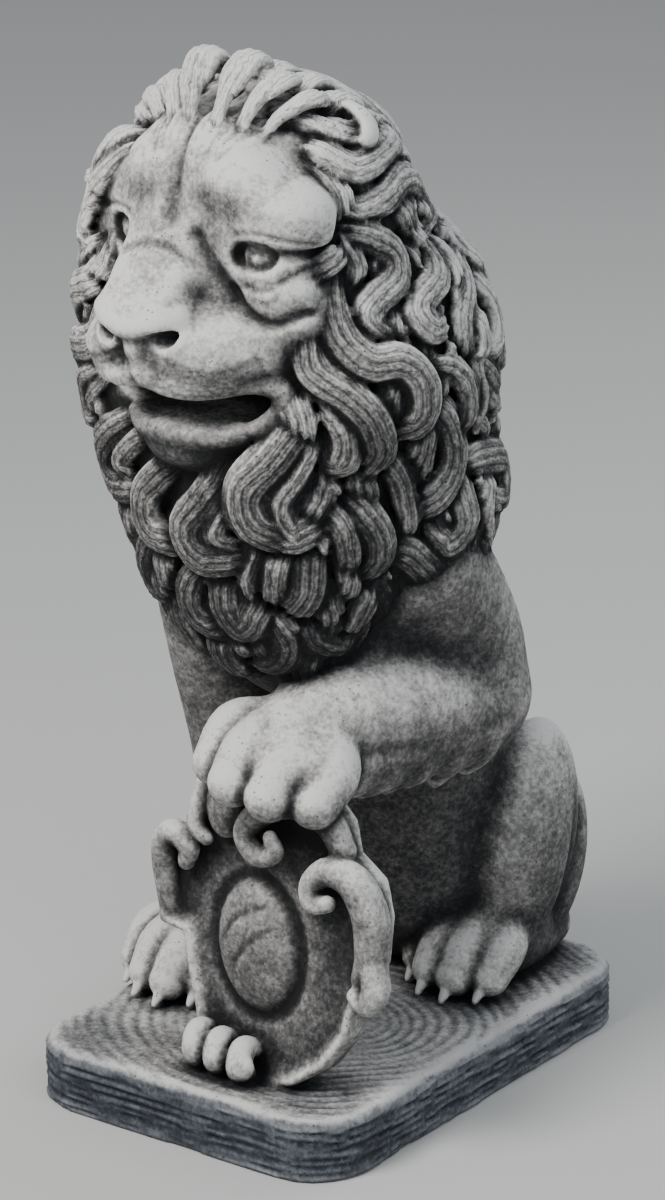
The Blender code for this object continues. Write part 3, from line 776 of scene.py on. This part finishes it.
def torso(clay):
    clay.ball((0, 128, 70), (84, 56, 78), blend=0)
    spine = [(0, 112, 70), (0, 84, 170), (0, 55, 250), (0, 25, 330), (0, -5, 400)]
    clay.limb(spine, [76, 78, 80, 86, 90], blend=20)
    clay.ball((0, -20, 300), (84, 68, 70), blend=25)


def toe(clay, knuckle, x, y, tip, width):
    """A toe that stands on the slab, with its claw."""
    clay.limb([knuckle, (x, y + 20, 33), tip], [15, 16.5, width], blend=5)
    clay.limb([(x, y - 9, 10), (x, y - 16, 4)], [4.5, 2.5], blend=2)


def hind_legs(clay):
    for s in (-1, 1):
        clay.limb(sided(s, [(72, 160, 20), (74, 118, 24), (74, 84, 30)]), [20, 27, 28], blend=10)
        clay.ball((s * 82, 120, 104), (33, 44, 84), turn=(-12, 0, 0), blend=14)
        clay.ball((s * 70, 158, 74), (34, 30, 70), turn=(-14, 0, 0), blend=5)
        fold = sided(s, [(112, 138, 196), (118, 146, 150), (114, 140, 100), (100, 128, 50)])
        clay.groove(fold, width=7, depth=5)
        for x, y in HIND_TOES:
            toe(clay, (s * (74 + (x - 74) * 0.6), 92, 40), s * x, y, (s * x, y + 2, 17), 14.5)


def tail(clay):
    """The tail, laid round the right haunch, with a tuft of four locks."""
    path = [(0, 168, 46), (-40, 182, 24), (-86, 172, 16), (-114, 138, 15), (-117, 96, 15), (-110, 66, 16)]
    clay.limb(path, [16, 14, 12, 11, 11, 11], blend=8)
    for i in range(4):
        turn = math.radians(-60 + 40 * i)
        middle = (-110 + 9 * math.sin(turn), 64 - 12 * math.cos(turn), 18)
        tip = (-110 + 16 * math.sin(turn) - 4, 66 - 32 * math.cos(turn), 14)
        clay.limb([(-114, 84, 16), middle, tip], [10, 11, 4], blend=3)


def standing_foreleg(clay):
    leg = [(-80, -22, 330), (-86, -6, 250), (-90, 14, 160), (-92, 14, 90), (-94, 2, 40)]
    clay.limb(leg, [52, 43, 35, 30, 29], blend=16)
    clay.ball((-95, -24, 27), (38, 46, 27), blend=10)
    for x, y in STANDING_TOES:
        toe(clay, (-95 + (x + 95) * 0.6, -24, 38), x, y, (x, y + 1, 16), 14)


def raised_foreleg(clay):
    clay.limb([(72, -8, 340), (82, 32, 280), (86, 40, 240)], [52, 44, 41], blend=18)
    clay.limb([(86, 36, 232), (76, -14, 243), (60, -66, 244), (46, -98, 234)], [42, 45, 41, 35], blend=14)
    clay.ball((42, -112, 226), (50, 42, 28), turn=(16, 0, -12), blend=12)
    for x, y, z in RAISED_TOES:
        knuckle = (44 + (x - 44) * 0.62, -104, 243)
        clay.limb([knuckle, (x, y + 22, z + 14), (x, y + 1, z - 4)], [15, 18.5, 17], blend=4)
    fringe(clay)


def fringe(clay):
    """The tuft of hair that hangs under the raised foreleg, from the elbow to the wrist."""
    for i in range(FRINGE_STRANDS):
        t = i / (FRINGE_STRANDS - 1)
        x, y, z = 118 - 33 * t, 24 - 108 * t, 221
        drop = (1 - t) * 8 + 6 * math.sin(i * 2.3) + 3 * math.sin(i * 4.9)
        sway = 6 * math.sin(i * 1.7)
        middle, tip = (x - 5, y - 5 + 0.5 * sway, z - 17), (x - 15, y - 9 + sway, z - 22 - drop)
        clay.limb([(x, y, z), middle, tip], [9, 7.5, 3.5], blend=8)
        parting = [(x + 6, y + 3, z + 6), (x + 3, y, z - 8), (x - 5, y - 3, z - 22)]
        clay.groove(parting, width=2.0, depth=1.4)


def skull(clay):
    """The head's masses: cranium, cheeks, brows, bridge and muzzle."""
    ball, limb = partial(clay.ball, frame=HEAD), partial(clay.limb, frame=HEAD)
    ball((5, -108, -8), (87, 90, 86), blend=12)
    ball((4, -72, -52), (78, 50, 70), blend=18)
    ball((0, -48, 30), (50, 32, 34), turn=(-12, 0, 0), blend=14)
    limb([(0, -42, 40), (-2, -34, 16), (-4, -28, -4)], [24, 20, 15], blend=12)
    for s, face in FACE_SIDES:
        clay.ball((s * 41, -35, 24), (31, 28, 23), turn=(0, s * 10, 0), blend=10, frame=face)
        clay.ball((s * 64, -41, 9), (37, 31, 22), turn=(0, s * 6, 0), blend=10, frame=face)
        brow = sided(s, [(42, -20, -2), (55, -17, -4), (69, -19, -5), (83, -28, -6), (93, -44, -7)])
        clay.limb(brow, [6, 7.5, 7.5, 7, 5], blend=13, frame=face)
        clay.ball((s * 64, -50, -58), (35, 36, 40), blend=14, frame=face)
    bridge = [(-2, -27, 2), (-7, -13, -19), (-10, -3, -34), (-10, 13, -49), (-9, 26, -61)]
    limb(bridge, [11, 13, 14, 13, 11], blend=6)
    right_slope = [(-11, -28, 1), (-21, -16, -18), (-27, -6, -33), (-28, 10, -48), (-25, 22, -60)]
    limb(right_slope, [12, 14, 14, 12, 10], blend=14)
    left_slope = [(7, -28, 2), (9, -16, -20), (9, -5, -35), (9, 9, -48), (9, 22, -60)]
    limb(left_slope, [11, 13, 13, 12, 10], blend=14)
    ball((-4, -24, -84), (54, 54, 36), turn=(0, 0, -12), blend=14)
    ball((28, -5, -86), (40, 28, 27), turn=(0, -4, -22), blend=14)
    ball((50, -26, -84), (26, 24, 22), blend=14)
    ball((-32, 4, -88), (28, 26, 24), turn=(0, 6, 8), blend=12)


def features(clay):
    """The nose, both eyes, and the lines drawn on the brow."""
    ball, draw = partial(clay.ball, frame=HEAD), partial(clay.draw, frame=HEAD)
    ball((-6, 15, -56), (30, 23, 11), turn=(-24, 0, -12), blend=8)
    edge = [(-33, 26, -59), (-19, 35, -63), (-3, 37, -66), (13, 30, -64), (24, 16, -60)]
    clay.limb(edge, [5, 6, 6.5, 6, 5.5], blend=7, frame=HEAD)
    ball((-3, 25, -78), (9, 13, 14), turn=(0, 0, -12), blend=4)
    ball((17, 15, -75), (14, 16, 12), turn=(0, 0, -20), blend=4)
    ball((-23, 21, -75), (13, 16, 12), turn=(0, 0, 10), blend=4)
    for s, face in FACE_SIDES:
        eye(clay, s, face)
    draw([(20, -10), (29, -24), (37, -36), (44, -48)], width=6, depth=4)
    furrow = [(2, 74), (0, 46), (-1, 16)]
    draw([*furrow, (-2, 2)], width=9, depth=3.5)
    draw(furrow, width=2.2, depth=1.2)
    draw([(-34, -26), (-16, -19), (4, -19), (22, -28)], width=2.4, depth=1.5)
    for k in range(-5, 6):
        draw([(10 * k + 3, 76), (8 * k + 1, 58), (6 * k, 40)], width=2.0, depth=1.1)


def eye(clay, s, face):
    """One eye in its socket, with its lids, the bags below, the pupil's drilled ring and the brow's folds."""
    ball, limb, draw = (partial(tool, frame=face) for tool in (clay.ball, clay.limb, clay.draw))
    limb(sided(s, [(36, -22, 10), (40, -19, -8), (45, -20, -34)]), [11, 8.5, 6], blend=6)
    ball((s * 64, -33, -28), (25, 20, 15), turn=(0, -s * 8, 0), blend=6)
    ball((s * 68, -33, -43), (27, 20, 16), turn=(0, -s * 6, 0), blend=6)
    ball((s * 61, -8, -20), (18.5 * abs(s), 21 * s * s, 12), turn=(0, -s * 8, 0), blend=2, cut=True)
    ball((s * 60, -28.5 + 24 * (1 - abs(s)), -20), (15, 14.5, 14), blend=1)
    upper_lid = sided(s, [(45, -27, -14), (53, -20, -10), (63, -18, -9), (76, -26, -14)])
    lower_lid = sided(s, [(46, -27, -26), (54, -20, -30), (65, -19, -31), (77, -27, -26)])
    limb(upper_lid, [3, 4, 4.5, 3.5], blend=4)
    limb(lower_lid, [3, 4, 4, 3], blend=5)
    turns = [math.pi * k / 4 for k in range(9)]
    pupil = [(s * 62 + 5.5 * math.sin(a), -15, -22 + 5.5 * math.cos(a)) for a in turns]
    clay.groove(pupil, width=1.8, depth=2.6, frame=face)
    draw(sided(s, [(50, -5), (62, -3), (76, -4), (94, -9)]), width=1.8, depth=1.6)
    draw(sided(s, [(44, -44), (56, -56), (74, -62), (90, -55)]), width=4, depth=3.5)
    draw(sided(s, [(54, -39), (66, -41), (78, -36), (88, -26)]), width=1.8, depth=1.2)
    draw(sided(s, [(56, -47), (68, -49), (80, -43)]), width=1.8, depth=0.8)
    for r in (0.0, 8.0):
        fold = [(s * (28 + r), 38 - r), (s * 44, 47 - r), (s * (62 - r), 42 - r), (s * (74 - r), 28)]
        draw(fold, width=2.4, depth=0.8)


def mouth(clay):
    """The open mouth, its lips, the chin, the nostrils and the whisker lines."""
    ball, limb, draw = (partial(tool, frame=HEAD) for tool in (clay.ball, clay.limb, clay.draw))
    ball((4, -22, -121), (67, 56, 16), blend=4, cut=True)
    ball((51, -22, -117), (15, 30, 14), blend=4, cut=True)
    ball((4, -32, -142), (47, 44, 14), blend=6)
    ball((4, -40, -152), (40, 40, 22), blend=8)
    ball((4, -16, -151), (30, 26, 17), blend=8)
    left_lip = [(2, 25, -98), (16, 20, -104), (32, 9, -106), (48, -8, -104), (61, -27, -101)]
    right_lip = [(-2, 26, -98), (-18, 27, -102), (-34, 18, -103), (-48, 0, -103), (-60, -26, -102)]
    for s, lip in ((1, left_lip), (-1, right_lip)):
        limb(lip, [6, 7, 7.5, 7.5, 7], blend=10)
        for row in range(5):
            low, lower = 4 * row, 5 * row
            whisker = [(s * 12, -82 - lower), (s * 30, -90 - lower), (s * 50, -93 - low), (s * 70, -84 - low)]
            draw(whisker, width=1.8, depth=1.3)
    corner = [
        (46, -6, -105), (60, -17, -102), (72, -27, -108), (72, -28, -122), (60, -20, -134), (44, -10, -140),
    ]
    limb(corner, [6, 7.5, 8, 7.5, 6, 4], blend=4)
    lower_lip = [
        (48, -14, -140), (36, -5, -142), (17, 4, -141), (0, 7, -139), (-20, 3, -140), (-40, -12, -138),
    ]
    limb(lower_lip, [4.5, 4.5, 4.5, 4.5, 4.5, 4], blend=8)
    limb([(9, 40, -74), (16, 34, -74), (21, 26, -72), (27, 14, -68)], [4, 6.5, 6, 3], blend=2, cut=True)
    limb([(-15, 43, -74), (-22, 38, -74), (-26, 28, -72), (-32, 16, -68)], [4, 6.5, 6, 3], blend=2, cut=True)
    limb([(-4, 40, -84), (-3, 38, -97), (-1, 30, -112)], [2, 2.6, 3.5], blend=3, cut=True)


def mane_mass(clay):
    for centre, radii in MANE:
        clay.ball(centre, radii, blend=MANE_BLEND)


def shield(clay):
    """A plate with scrolled edges and an oval boss, leaning back a little."""
    ball, limb, groove = (partial(tool, frame=SHIELD) for tool in (clay.ball, clay.limb, clay.groove))
    clay.slab(SHIELD_OUTLINE, SHIELD_THICKNESS, 4, SHIELD_DISH, SHIELD, 3)
    strap = [(-80, 2, 96), (-84, 8, 122), (-84, 14, 146), (-74, 18, 158), (-62, 16, 150), (-64, 14, 138)]
    limb(strap, [8, 9, 9, 9, 8, 6], blend=3)
    scroll = [
        (84, 4, 88), (90, 8, 108), (88, 12, 136), (74, 15, 156), (54, 16, 158), (42, 17, 146),
        (45, 17, 134), (56, 16, 136),
    ]
    limb(scroll, [10, 12, 13, 12, 10, 8, 7, 6], blend=3)
    limb([(94, 10, 98), (98, 12, 84), (92, 13, 74), (83, 13, 78)], [10, 10, 8, 6], blend=3)
    volute = [
        (60, 8, 172), (50, 13, 190), (26, 17, 198), (2, 19, 190), (-12, 20, 172), (-2, 20, 158),
        (12, 20, 162), (8, 20, 172),
    ]
    limb(volute, [9, 10, 10, 10, 9, 8, 7, 5], blend=3)
    ball((-34, 12, 186), (16, 13, 25), blend=5)
    limb([(-54, 8, 210), (-56, 13, 186), (-57, 15, 166), (-48, 15, 158)], [6, 7, 7, 5], blend=4)
    groove(ring(-6, 5, 90, 37, 50, 20, -15), width=3.4, depth=6)
    ball((-6, 1, 90), (33, 15, 46), turn=(0, -15, 0), blend=2)
    groove([(-33, 12, 84), (-27, 13, 100), (-14, 14, 113), (4, 12, 122)], width=1.7, depth=2.6)
    groove([(-24, 11, 56), (-16, 15, 81), (1, 16, 101), (21, 12, 112)], width=1.7, depth=2.6)
    for i, a in enumerate((-38, -20, 0)):
        b = 2 * i
        limb([(a, 8, 24 - b), (a, 20, 25 - b), (a + 2, 26, 14 - b), (a, 16, 3)], [7, 9, 9, 8], blend=2)
    ball((6, 27, 12), (9, 5, 9), blend=2)


def ring(a, b, c, wide, high, count, lean):
    """Points round an oval on the shield's face, about a middle given across, forward and up."""
    out = []
    along, aside = math.cos(math.radians(lean)), math.sin(math.radians(lean))
    for i in range(count + 1):
        t = 2 * math.pi * i / count
        x = wide * math.sin(t)
        z = high * math.cos(t)
        out.append((a + x * along + z * aside, b, c + z * along - x * aside))
    return out


def in_scene(name, data):
    """A new object in the scene."""
    obj = bpy.data.objects.new(name, data)
    bpy.context.scene.collection.objects.link(obj)
    return obj


def mesh_object(name, points, faces):
    """An object whose mesh has these points, in millimetres, and faces."""
    mesh = bpy.data.meshes.new(name)
    mesh.vertices.add(len(points))
    mesh.vertices.foreach_set("co", (points * MM).astype(np.float32).ravel())
    side = faces.shape[1]
    mesh.loops.add(faces.size)
    mesh.loops.foreach_set("vertex_index", faces.astype(np.int32).ravel())
    mesh.polygons.add(len(faces))
    mesh.polygons.foreach_set("loop_start", np.arange(0, faces.size, side, dtype=np.int32))
    mesh.polygons.foreach_set("use_smooth", np.ones(len(faces), bool))
    mesh.update()
    mesh.validate()
    return in_scene(name, mesh)


def wave(x, y, z, scale, seed, count=7):
    """A smooth wandering value about -1 to 1, from a few crossed waves."""
    rng = np.random.default_rng(seed)
    total = 0
    for _ in range(count):
        way = rng.normal(size=3)
        way /= np.linalg.norm(way)
        way *= 2 * math.pi / scale * rng.uniform(0.6, 1.5)
        total = total + np.sin(way[0] * x + way[1] * y + way[2] * z + rng.uniform(0, 2 * math.pi))
    return total / math.sqrt(count)


def plinth(clay, margin=10, over=14):
    """The slab, its top raked in curved lines and its sides split in layers like slate."""
    half_wide, half_deep = PLINTH_WIDTH / 2, PLINTH_DEPTH / 2
    low = (-half_wide - margin, -half_deep - margin, -PLINTH_THICKNESS - margin)
    where, (x, y, z) = clay.window(low, (half_wide + margin, half_deep + margin, over))
    qx = np.abs(x) - (half_wide - PLINTH_CORNER)
    qy = np.abs(y) - (half_deep - PLINTH_CORNER)
    corner = np.sqrt(np.maximum(qx, 0) ** 2 + np.maximum(qy, 0) ** 2)
    flat = corner + np.minimum(np.maximum(qx, qy), 0) - PLINTH_CORNER
    layers = z + 1.6 * wave(x, y, 0, 90, 3) + 0.5 * wave(x, y, z, 25, 4)
    split = np.sin(layers * LAYER_PITCH) + 0.7 * np.sin(layers * 1.9 + 1) + 0.9 * wave(x, y, z * 6, 40, 5)
    flat = flat + 0.8 * np.clip(split, -1.2, 2.2) - 0.4
    rake = np.sqrt((x - RAKE_CENTRE[0]) ** 2 + (y - RAKE_CENTRE[1]) ** 2) + 4 * wave(x, y, 0, 120, 6)
    rake = np.maximum(np.sin(rake * 2 * math.pi / RAKE_PITCH), -0.3) * (0.7 + 0.4 * wave(x, y, 0, 60, 7))
    top = z + 0.75 * rake + 0.8 * wave(x, y, 0, 80, 8)
    d = np.maximum(rounded(flat, top, SIDE_ROUND), -(z + PLINTH_THICKNESS))
    clay.join(where, d.astype(np.float32), 3.0)


def sculpt():
    """The whole statue in clay; each form covers or cuts those before it."""
    low = (-PLINTH_WIDTH / 2 - 16, -PLINTH_DEPTH / 2 - 30, -PLINTH_THICKNESS - 8)
    high = (PLINTH_WIDTH / 2 + 30, PLINTH_DEPTH / 2 + 20, 720)
    clay = Clay(low, high, STEP)
    forms = (
        torso, hind_legs, tail, standing_foreleg, raised_foreleg, mane_mass, skull, hair, features, mouth,
        shield, plinth,
    )
    for form in forms:
        form(clay)
    return clay


def blurred(grid, radius):
    """A grid smoothed by running means along each way."""
    out = grid.astype(np.float32)
    r = max(1, int(round(radius)))
    for axis in (0, 0, 1, 1, 2, 2):
        out = np.moveaxis(out, axis, 0)
        padded = np.concatenate([np.repeat(out[:1], r + 1, 0), out, np.repeat(out[-1:], r, 0)])
        total = np.cumsum(padded, 0, dtype=np.float32)
        out = (total[2 * r + 1:] - total[:-2 * r - 1]) / (2 * r + 1)
        out = np.moveaxis(out, 0, axis)
    return out


def nearest(clay, grid, points):
    """A grid's values at the grid points nearest to some points."""
    i = np.round((points - clay.low) / clay.step).astype(int)
    i = np.clip(i, 0, np.array(grid.shape) - 1)
    return grid[tuple(i.T)]


def thinned(obj, facets):
    """The object with its mesh brought down to a number of triangles."""
    bm = bmesh.new()
    bm.from_mesh(obj.data)
    bmesh.ops.triangulate(bm, faces=bm.faces[:])
    bm.to_mesh(obj.data)
    count = len(bm.faces)
    bm.free()
    if count > facets:
        thin = obj.modifiers.new("thin", "DECIMATE")
        thin.ratio = facets / count
        graph = bpy.context.evaluated_depsgraph_get()
        graph.update()
        mesh = bpy.data.meshes.new_from_object(obj.evaluated_get(graph))
        obj.modifiers.clear()
        obj.data = mesh
    return obj


def carve_statue():
    """The statue's mesh, with what its finish needs to know at each vertex."""
    clay = sculpt()
    points, quads = clay.mesh()
    points[:, 2] = np.maximum(points[:, 2] + PLINTH_THICKNESS, 0)
    obj = thinned(mesh_object("weathered_lion", points, quads), FINE_FACETS)
    mesh = obj.data
    p = np.empty(len(mesh.vertices) * 3, np.float32)
    mesh.vertices.foreach_get("co", p)
    p = p.reshape(-1, 3).astype(float) / MM
    p[:, 2] -= PLINTH_THICKNESS
    filled = np.clip(0.5 - clay.field / (2 * STEP), 0, 1)
    broad = blurred(filled, BROAD_BLUR / STEP)
    # The cavities, hollows and overhangs set where shade and highlights are painted; the strands and hair
    # mark the locks.
    known = {
        "cavity": clay.sample(blurred(filled, FINE_BLUR / STEP), p),
        "hollow": clay.sample(broad, p),
        "overhang_shade_and_rain_cover": clay.sample(broad, p + np.array(OVERHANG_AT)),
        "strand": nearest(clay, clay.strand, p) - STRAND_BASE,
        "hair": clay.sample(blurred(clay.strand > 0, HAIR_BLUR / STEP), p),
    }
    for name, values in known.items():
        attribute = mesh.attributes.new(name, "FLOAT", "POINT")
        attribute.data.foreach_set("value", np.asarray(values, np.float32))
    mesh.polygons.foreach_set("use_smooth", np.ones(len(mesh.polygons), bool))
    mesh.update()
    return obj


class Nodes:
    """A short hand for building a material's nodes."""

    def __init__(self, name):
        self.material = bpy.data.materials.new(name)
        self.material.use_nodes = True
        self.tree = self.material.node_tree
        self.shader = self.tree.nodes["Principled BSDF"]

    def put(self, value, socket):
        """Links a socket's value, or sets it."""
        if isinstance(value, bpy.types.NodeSocket):
            self.tree.links.new(value, socket)
        else:
            socket.default_value = value

    def node(self, kind, inputs=(), **settings):
        """The outputs of a new node with these inputs and settings."""
        node = self.tree.nodes.new("ShaderNode" + kind)
        for name, value in settings.items():
            setattr(node, name, value)
        for name, value in inputs:
            self.put(value, node.inputs[name])
        return node.outputs

    def math(self, kind, *values):
        return self.node("Math", enumerate(values), operation=kind)[0]

    def spread(self, value, low, high, to_low=0.0, to_high=1.0):
        names = ("Value", "From Min", "From Max", "To Min", "To Max")
        return self.node("MapRange", zip(names, (value, low, high, to_low, to_high)))["Result"]

    def noise(self, vector, scale, detail=3.0, rough=0.55):
        names = ("Vector", "Scale", "Detail", "Roughness")
        return self.node("TexNoise", zip(names, (vector, scale, detail, rough)))["Fac"]

    def ramp(self, value, stops):
        node = self.tree.nodes.new("ShaderNodeValToRGB")
        self.put(value, node.inputs["Fac"])
        while len(node.color_ramp.elements) < len(stops):
            node.color_ramp.elements.new(0.5)
        for element, (place, colour) in zip(node.color_ramp.elements, stops):
            element.position = place
            element.color = (*colour, 1)
        return node.outputs["Color"]

    def mix(self, part, a, b):
        inputs = (("Factor", part), ("A", a), ("B", b))
        return self.node("Mix", inputs, data_type="RGBA")["Result"]


def stone():
    """Cast stone gone grey: pale where rain and painted light reach, near black in painted shade in the
    hollows.
    """
    n = Nodes("cast_stone_weathered_and_shaded")
    spread, math_node = n.spread, n.math
    times = partial(n.math, "MULTIPLY")
    where = n.node("TexCoord")["Object"]
    facing_up = n.node("SeparateXYZ", ((0, n.node("NewGeometry")["Normal"]),))["Z"]
    place = n.node("SeparateXYZ", ((0, where),))
    behind, height = place["Y"], place["Z"]
    names = ("cavity", "hollow", "overhang_shade_and_rain_cover", "hair", "strand")
    known = [n.node("Attribute", attribute_name=name)["Fac"] for name in names]
    cavity, hollow, overhang_shade_and_rain_cover, hair_part, strand = known

    cloud = n.noise(where, 14.0, 4.0, 0.6)
    mottle = n.noise(where, 75.0, 5.0, 0.65)
    grain = n.noise(where, 420.0, 3.0, 0.7)
    speck = n.noise(where, 260.0, 2.0, 0.6)
    wander = n.noise(where, 60.0, 2.0, 0.5)
    lines = math_node("SINE", math_node("MULTIPLY_ADD", strand, 2.1, times(wander, 9.0)))
    lines = times(lines, spread(hair_part, 0.45, 0.75))
    slab = spread(height, 0.046, 0.040)
    skin = math_node("SUBTRACT", 1.0, hair_part)
    # The places that stay darker: under the raised paw and down the beard; and painted shade inside the
    # mouth, on the lower lip and on the chin.
    front = times(spread(behind, -0.10, -0.13), spread(height, 0.262, 0.250))
    beard = times(hair_part, spread(height, 0.66, 0.38, 0.0, 1.0))
    beard = times(beard, spread(behind, 0.0, -0.10))
    mouth_shade = times(spread(height, 0.535, 0.515), spread(height, 0.44, 0.46))
    mouth_shade = times(mouth_shade, spread(behind, -0.12, -0.15))

    # How pale the stone is, from what its place and its carving say: its wear and tone, with painted shade
    # and painted light.
    # Painted shade in the fine creases and painted highlights on the raised carving; this also stands for
    # grime in the creases.
    wear_and_painted_light = spread(cavity, 0.70, 0.38, -0.06, 0.64)
    for part in (
        # Painted shade in the broad hollows, stronger among the locks.
        times(spread(hollow, 0.74, 0.40, -0.19, 0.14), spread(hair_part, 0.0, 1.0, 0.6, 1.0)),
        # Painted shade under overhanging stone, such as below the mane; it also stands for cover from the
        # rain.
        spread(overhang_shade_and_rain_cover, 0.55, 0.0, -0.08, 0.06),
        # Painted top light on upward faces and painted shade on downward ones, such as the belly; this also
        # stands for rain bleaching the tops.
        spread(facing_up, -0.5, 0.9, -0.16, 0.17),
        spread(cloud, 0.3, 0.7, -0.06, 0.06),
        spread(mottle, 0.3, 0.7, -0.08, 0.08),
        spread(speck, 0.35, 0.65, -0.07, 0.07),
        spread(grain, 0.3, 0.7, -0.06, 0.06),
        times(lines, 0.06),
        times(skin, 0.15),
        spread(height, 0.27, 0.20, 0.0, -0.07),
        times(front, -0.12),
        times(slab, -0.08),
        times(beard, -0.12),
        # Painted shade in the mouth and on the chin, on bare stone only.
        times(times(mouth_shade, skin), -0.24),
    ):
        wear_and_painted_light = math_node("ADD", wear_and_painted_light, part)
    colour = n.mix(times(slab, 0.85), n.ramp(wear_and_painted_light, STONE_TONES), n.ramp(wear_and_painted_light, SLAB_TONES))
    cells = n.node("TexVoronoi", (("Vector", where), ("Scale", 230.0)))["Distance"]
    unpitted = spread(n.noise(where, 45.0, 2.0), 0.52, 0.60, 1.0, 0.0)
    pits = math_node("MAXIMUM", spread(cells, 0.10, 0.20), unpitted)
    colour = n.mix(spread(pits, 0.0, 1.0, 0.65, 0.0), colour, PIT_COLOUR)
    n.put(colour, n.shader.inputs["Base Color"])
    n.put(spread(mottle, 0.3, 0.7, 0.78, 0.95), n.shader.inputs["Roughness"])
    n.shader.inputs["Specular IOR Level"].default_value = 0.35

    relief = times(lines, 0.55)
    for part, rise in ((grain, 0.55), (mottle, 0.7), (pits, 0.7)):
        relief = math_node("MULTIPLY_ADD", part, rise, relief)
    bump = n.node("Bump", (("Strength", 0.75), ("Distance", 0.0009), ("Height", relief)))
    n.put(bump["Normal"], n.shader.inputs["Normal"])
    return n.material


def area_light(name, spot, size, power, colour):
    """A soft square light that faces the statue's middle."""
    light = bpy.data.lights.new(name, "AREA")
    light.size = size
    light.energy = power
    light.color = colour
    obj = in_scene(name, light)
    obj.location = spot
    obj.rotation_mode = "QUATERNION"
    obj.rotation_quaternion = (Vector(spot) - Vector(LIT_MIDDLE)).to_track_quat("Z", "Y")


def set_stage():
    """A plain pale floor and soft light from above, ahead and the lion's right."""
    mesh = bpy.data.meshes.new("studio_floor")
    corners = ((-1, -1), (1, -1), (1, 1), (-1, 1))
    mesh.from_pydata([(FLOOR_HALF * x, FLOOR_HALF * y, 0) for x, y in corners], [], [(0, 1, 2, 3)])
    floor = in_scene("studio_floor", mesh)
    pale = Nodes("pale_floor")
    pale.shader.inputs["Base Color"].default_value = (0.62, 0.62, 0.60, 1)
    pale.shader.inputs["Roughness"].default_value = 0.9
    mesh.materials.append(pale.material)
    for light in LIGHTS:
        area_light(*light)
    world = bpy.data.worlds.new("studio_air")
    bpy.context.scene.world = world
    world.use_nodes = True
    air = world.node_tree.nodes["Background"]
    air.inputs["Color"].default_value = (0.80, 0.84, 0.90, 1)
    air.inputs["Strength"].default_value = 0.42


def set_camera():
    """The photograph's viewing angle: ahead and to the lion's left, a little above."""
    back = Vector(PHOTO_BACK)
    camera = bpy.data.cameras.new("photo_camera")
    camera.sensor_width = SENSOR
    camera.lens = PHOTO_FOCUS * SENSOR / PHOTO_HIGH
    camera.clip_end = 40.0
    obj = in_scene("photo_camera", camera)
    obj.location = Vector([MM * value for value in PHOTO_TARGET]) + back * (MM * PHOTO_DISTANCE)
    obj.rotation_mode = "QUATERNION"
    obj.rotation_quaternion = back.to_track_quat("Z", "Y")
    bpy.context.scene.camera = obj


statue = carve_statue()
statue.data.materials.clear()
statue.data.materials.append(stone())
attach(statue, "root")
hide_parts("lion_statue")
set_stage()
set_camera()
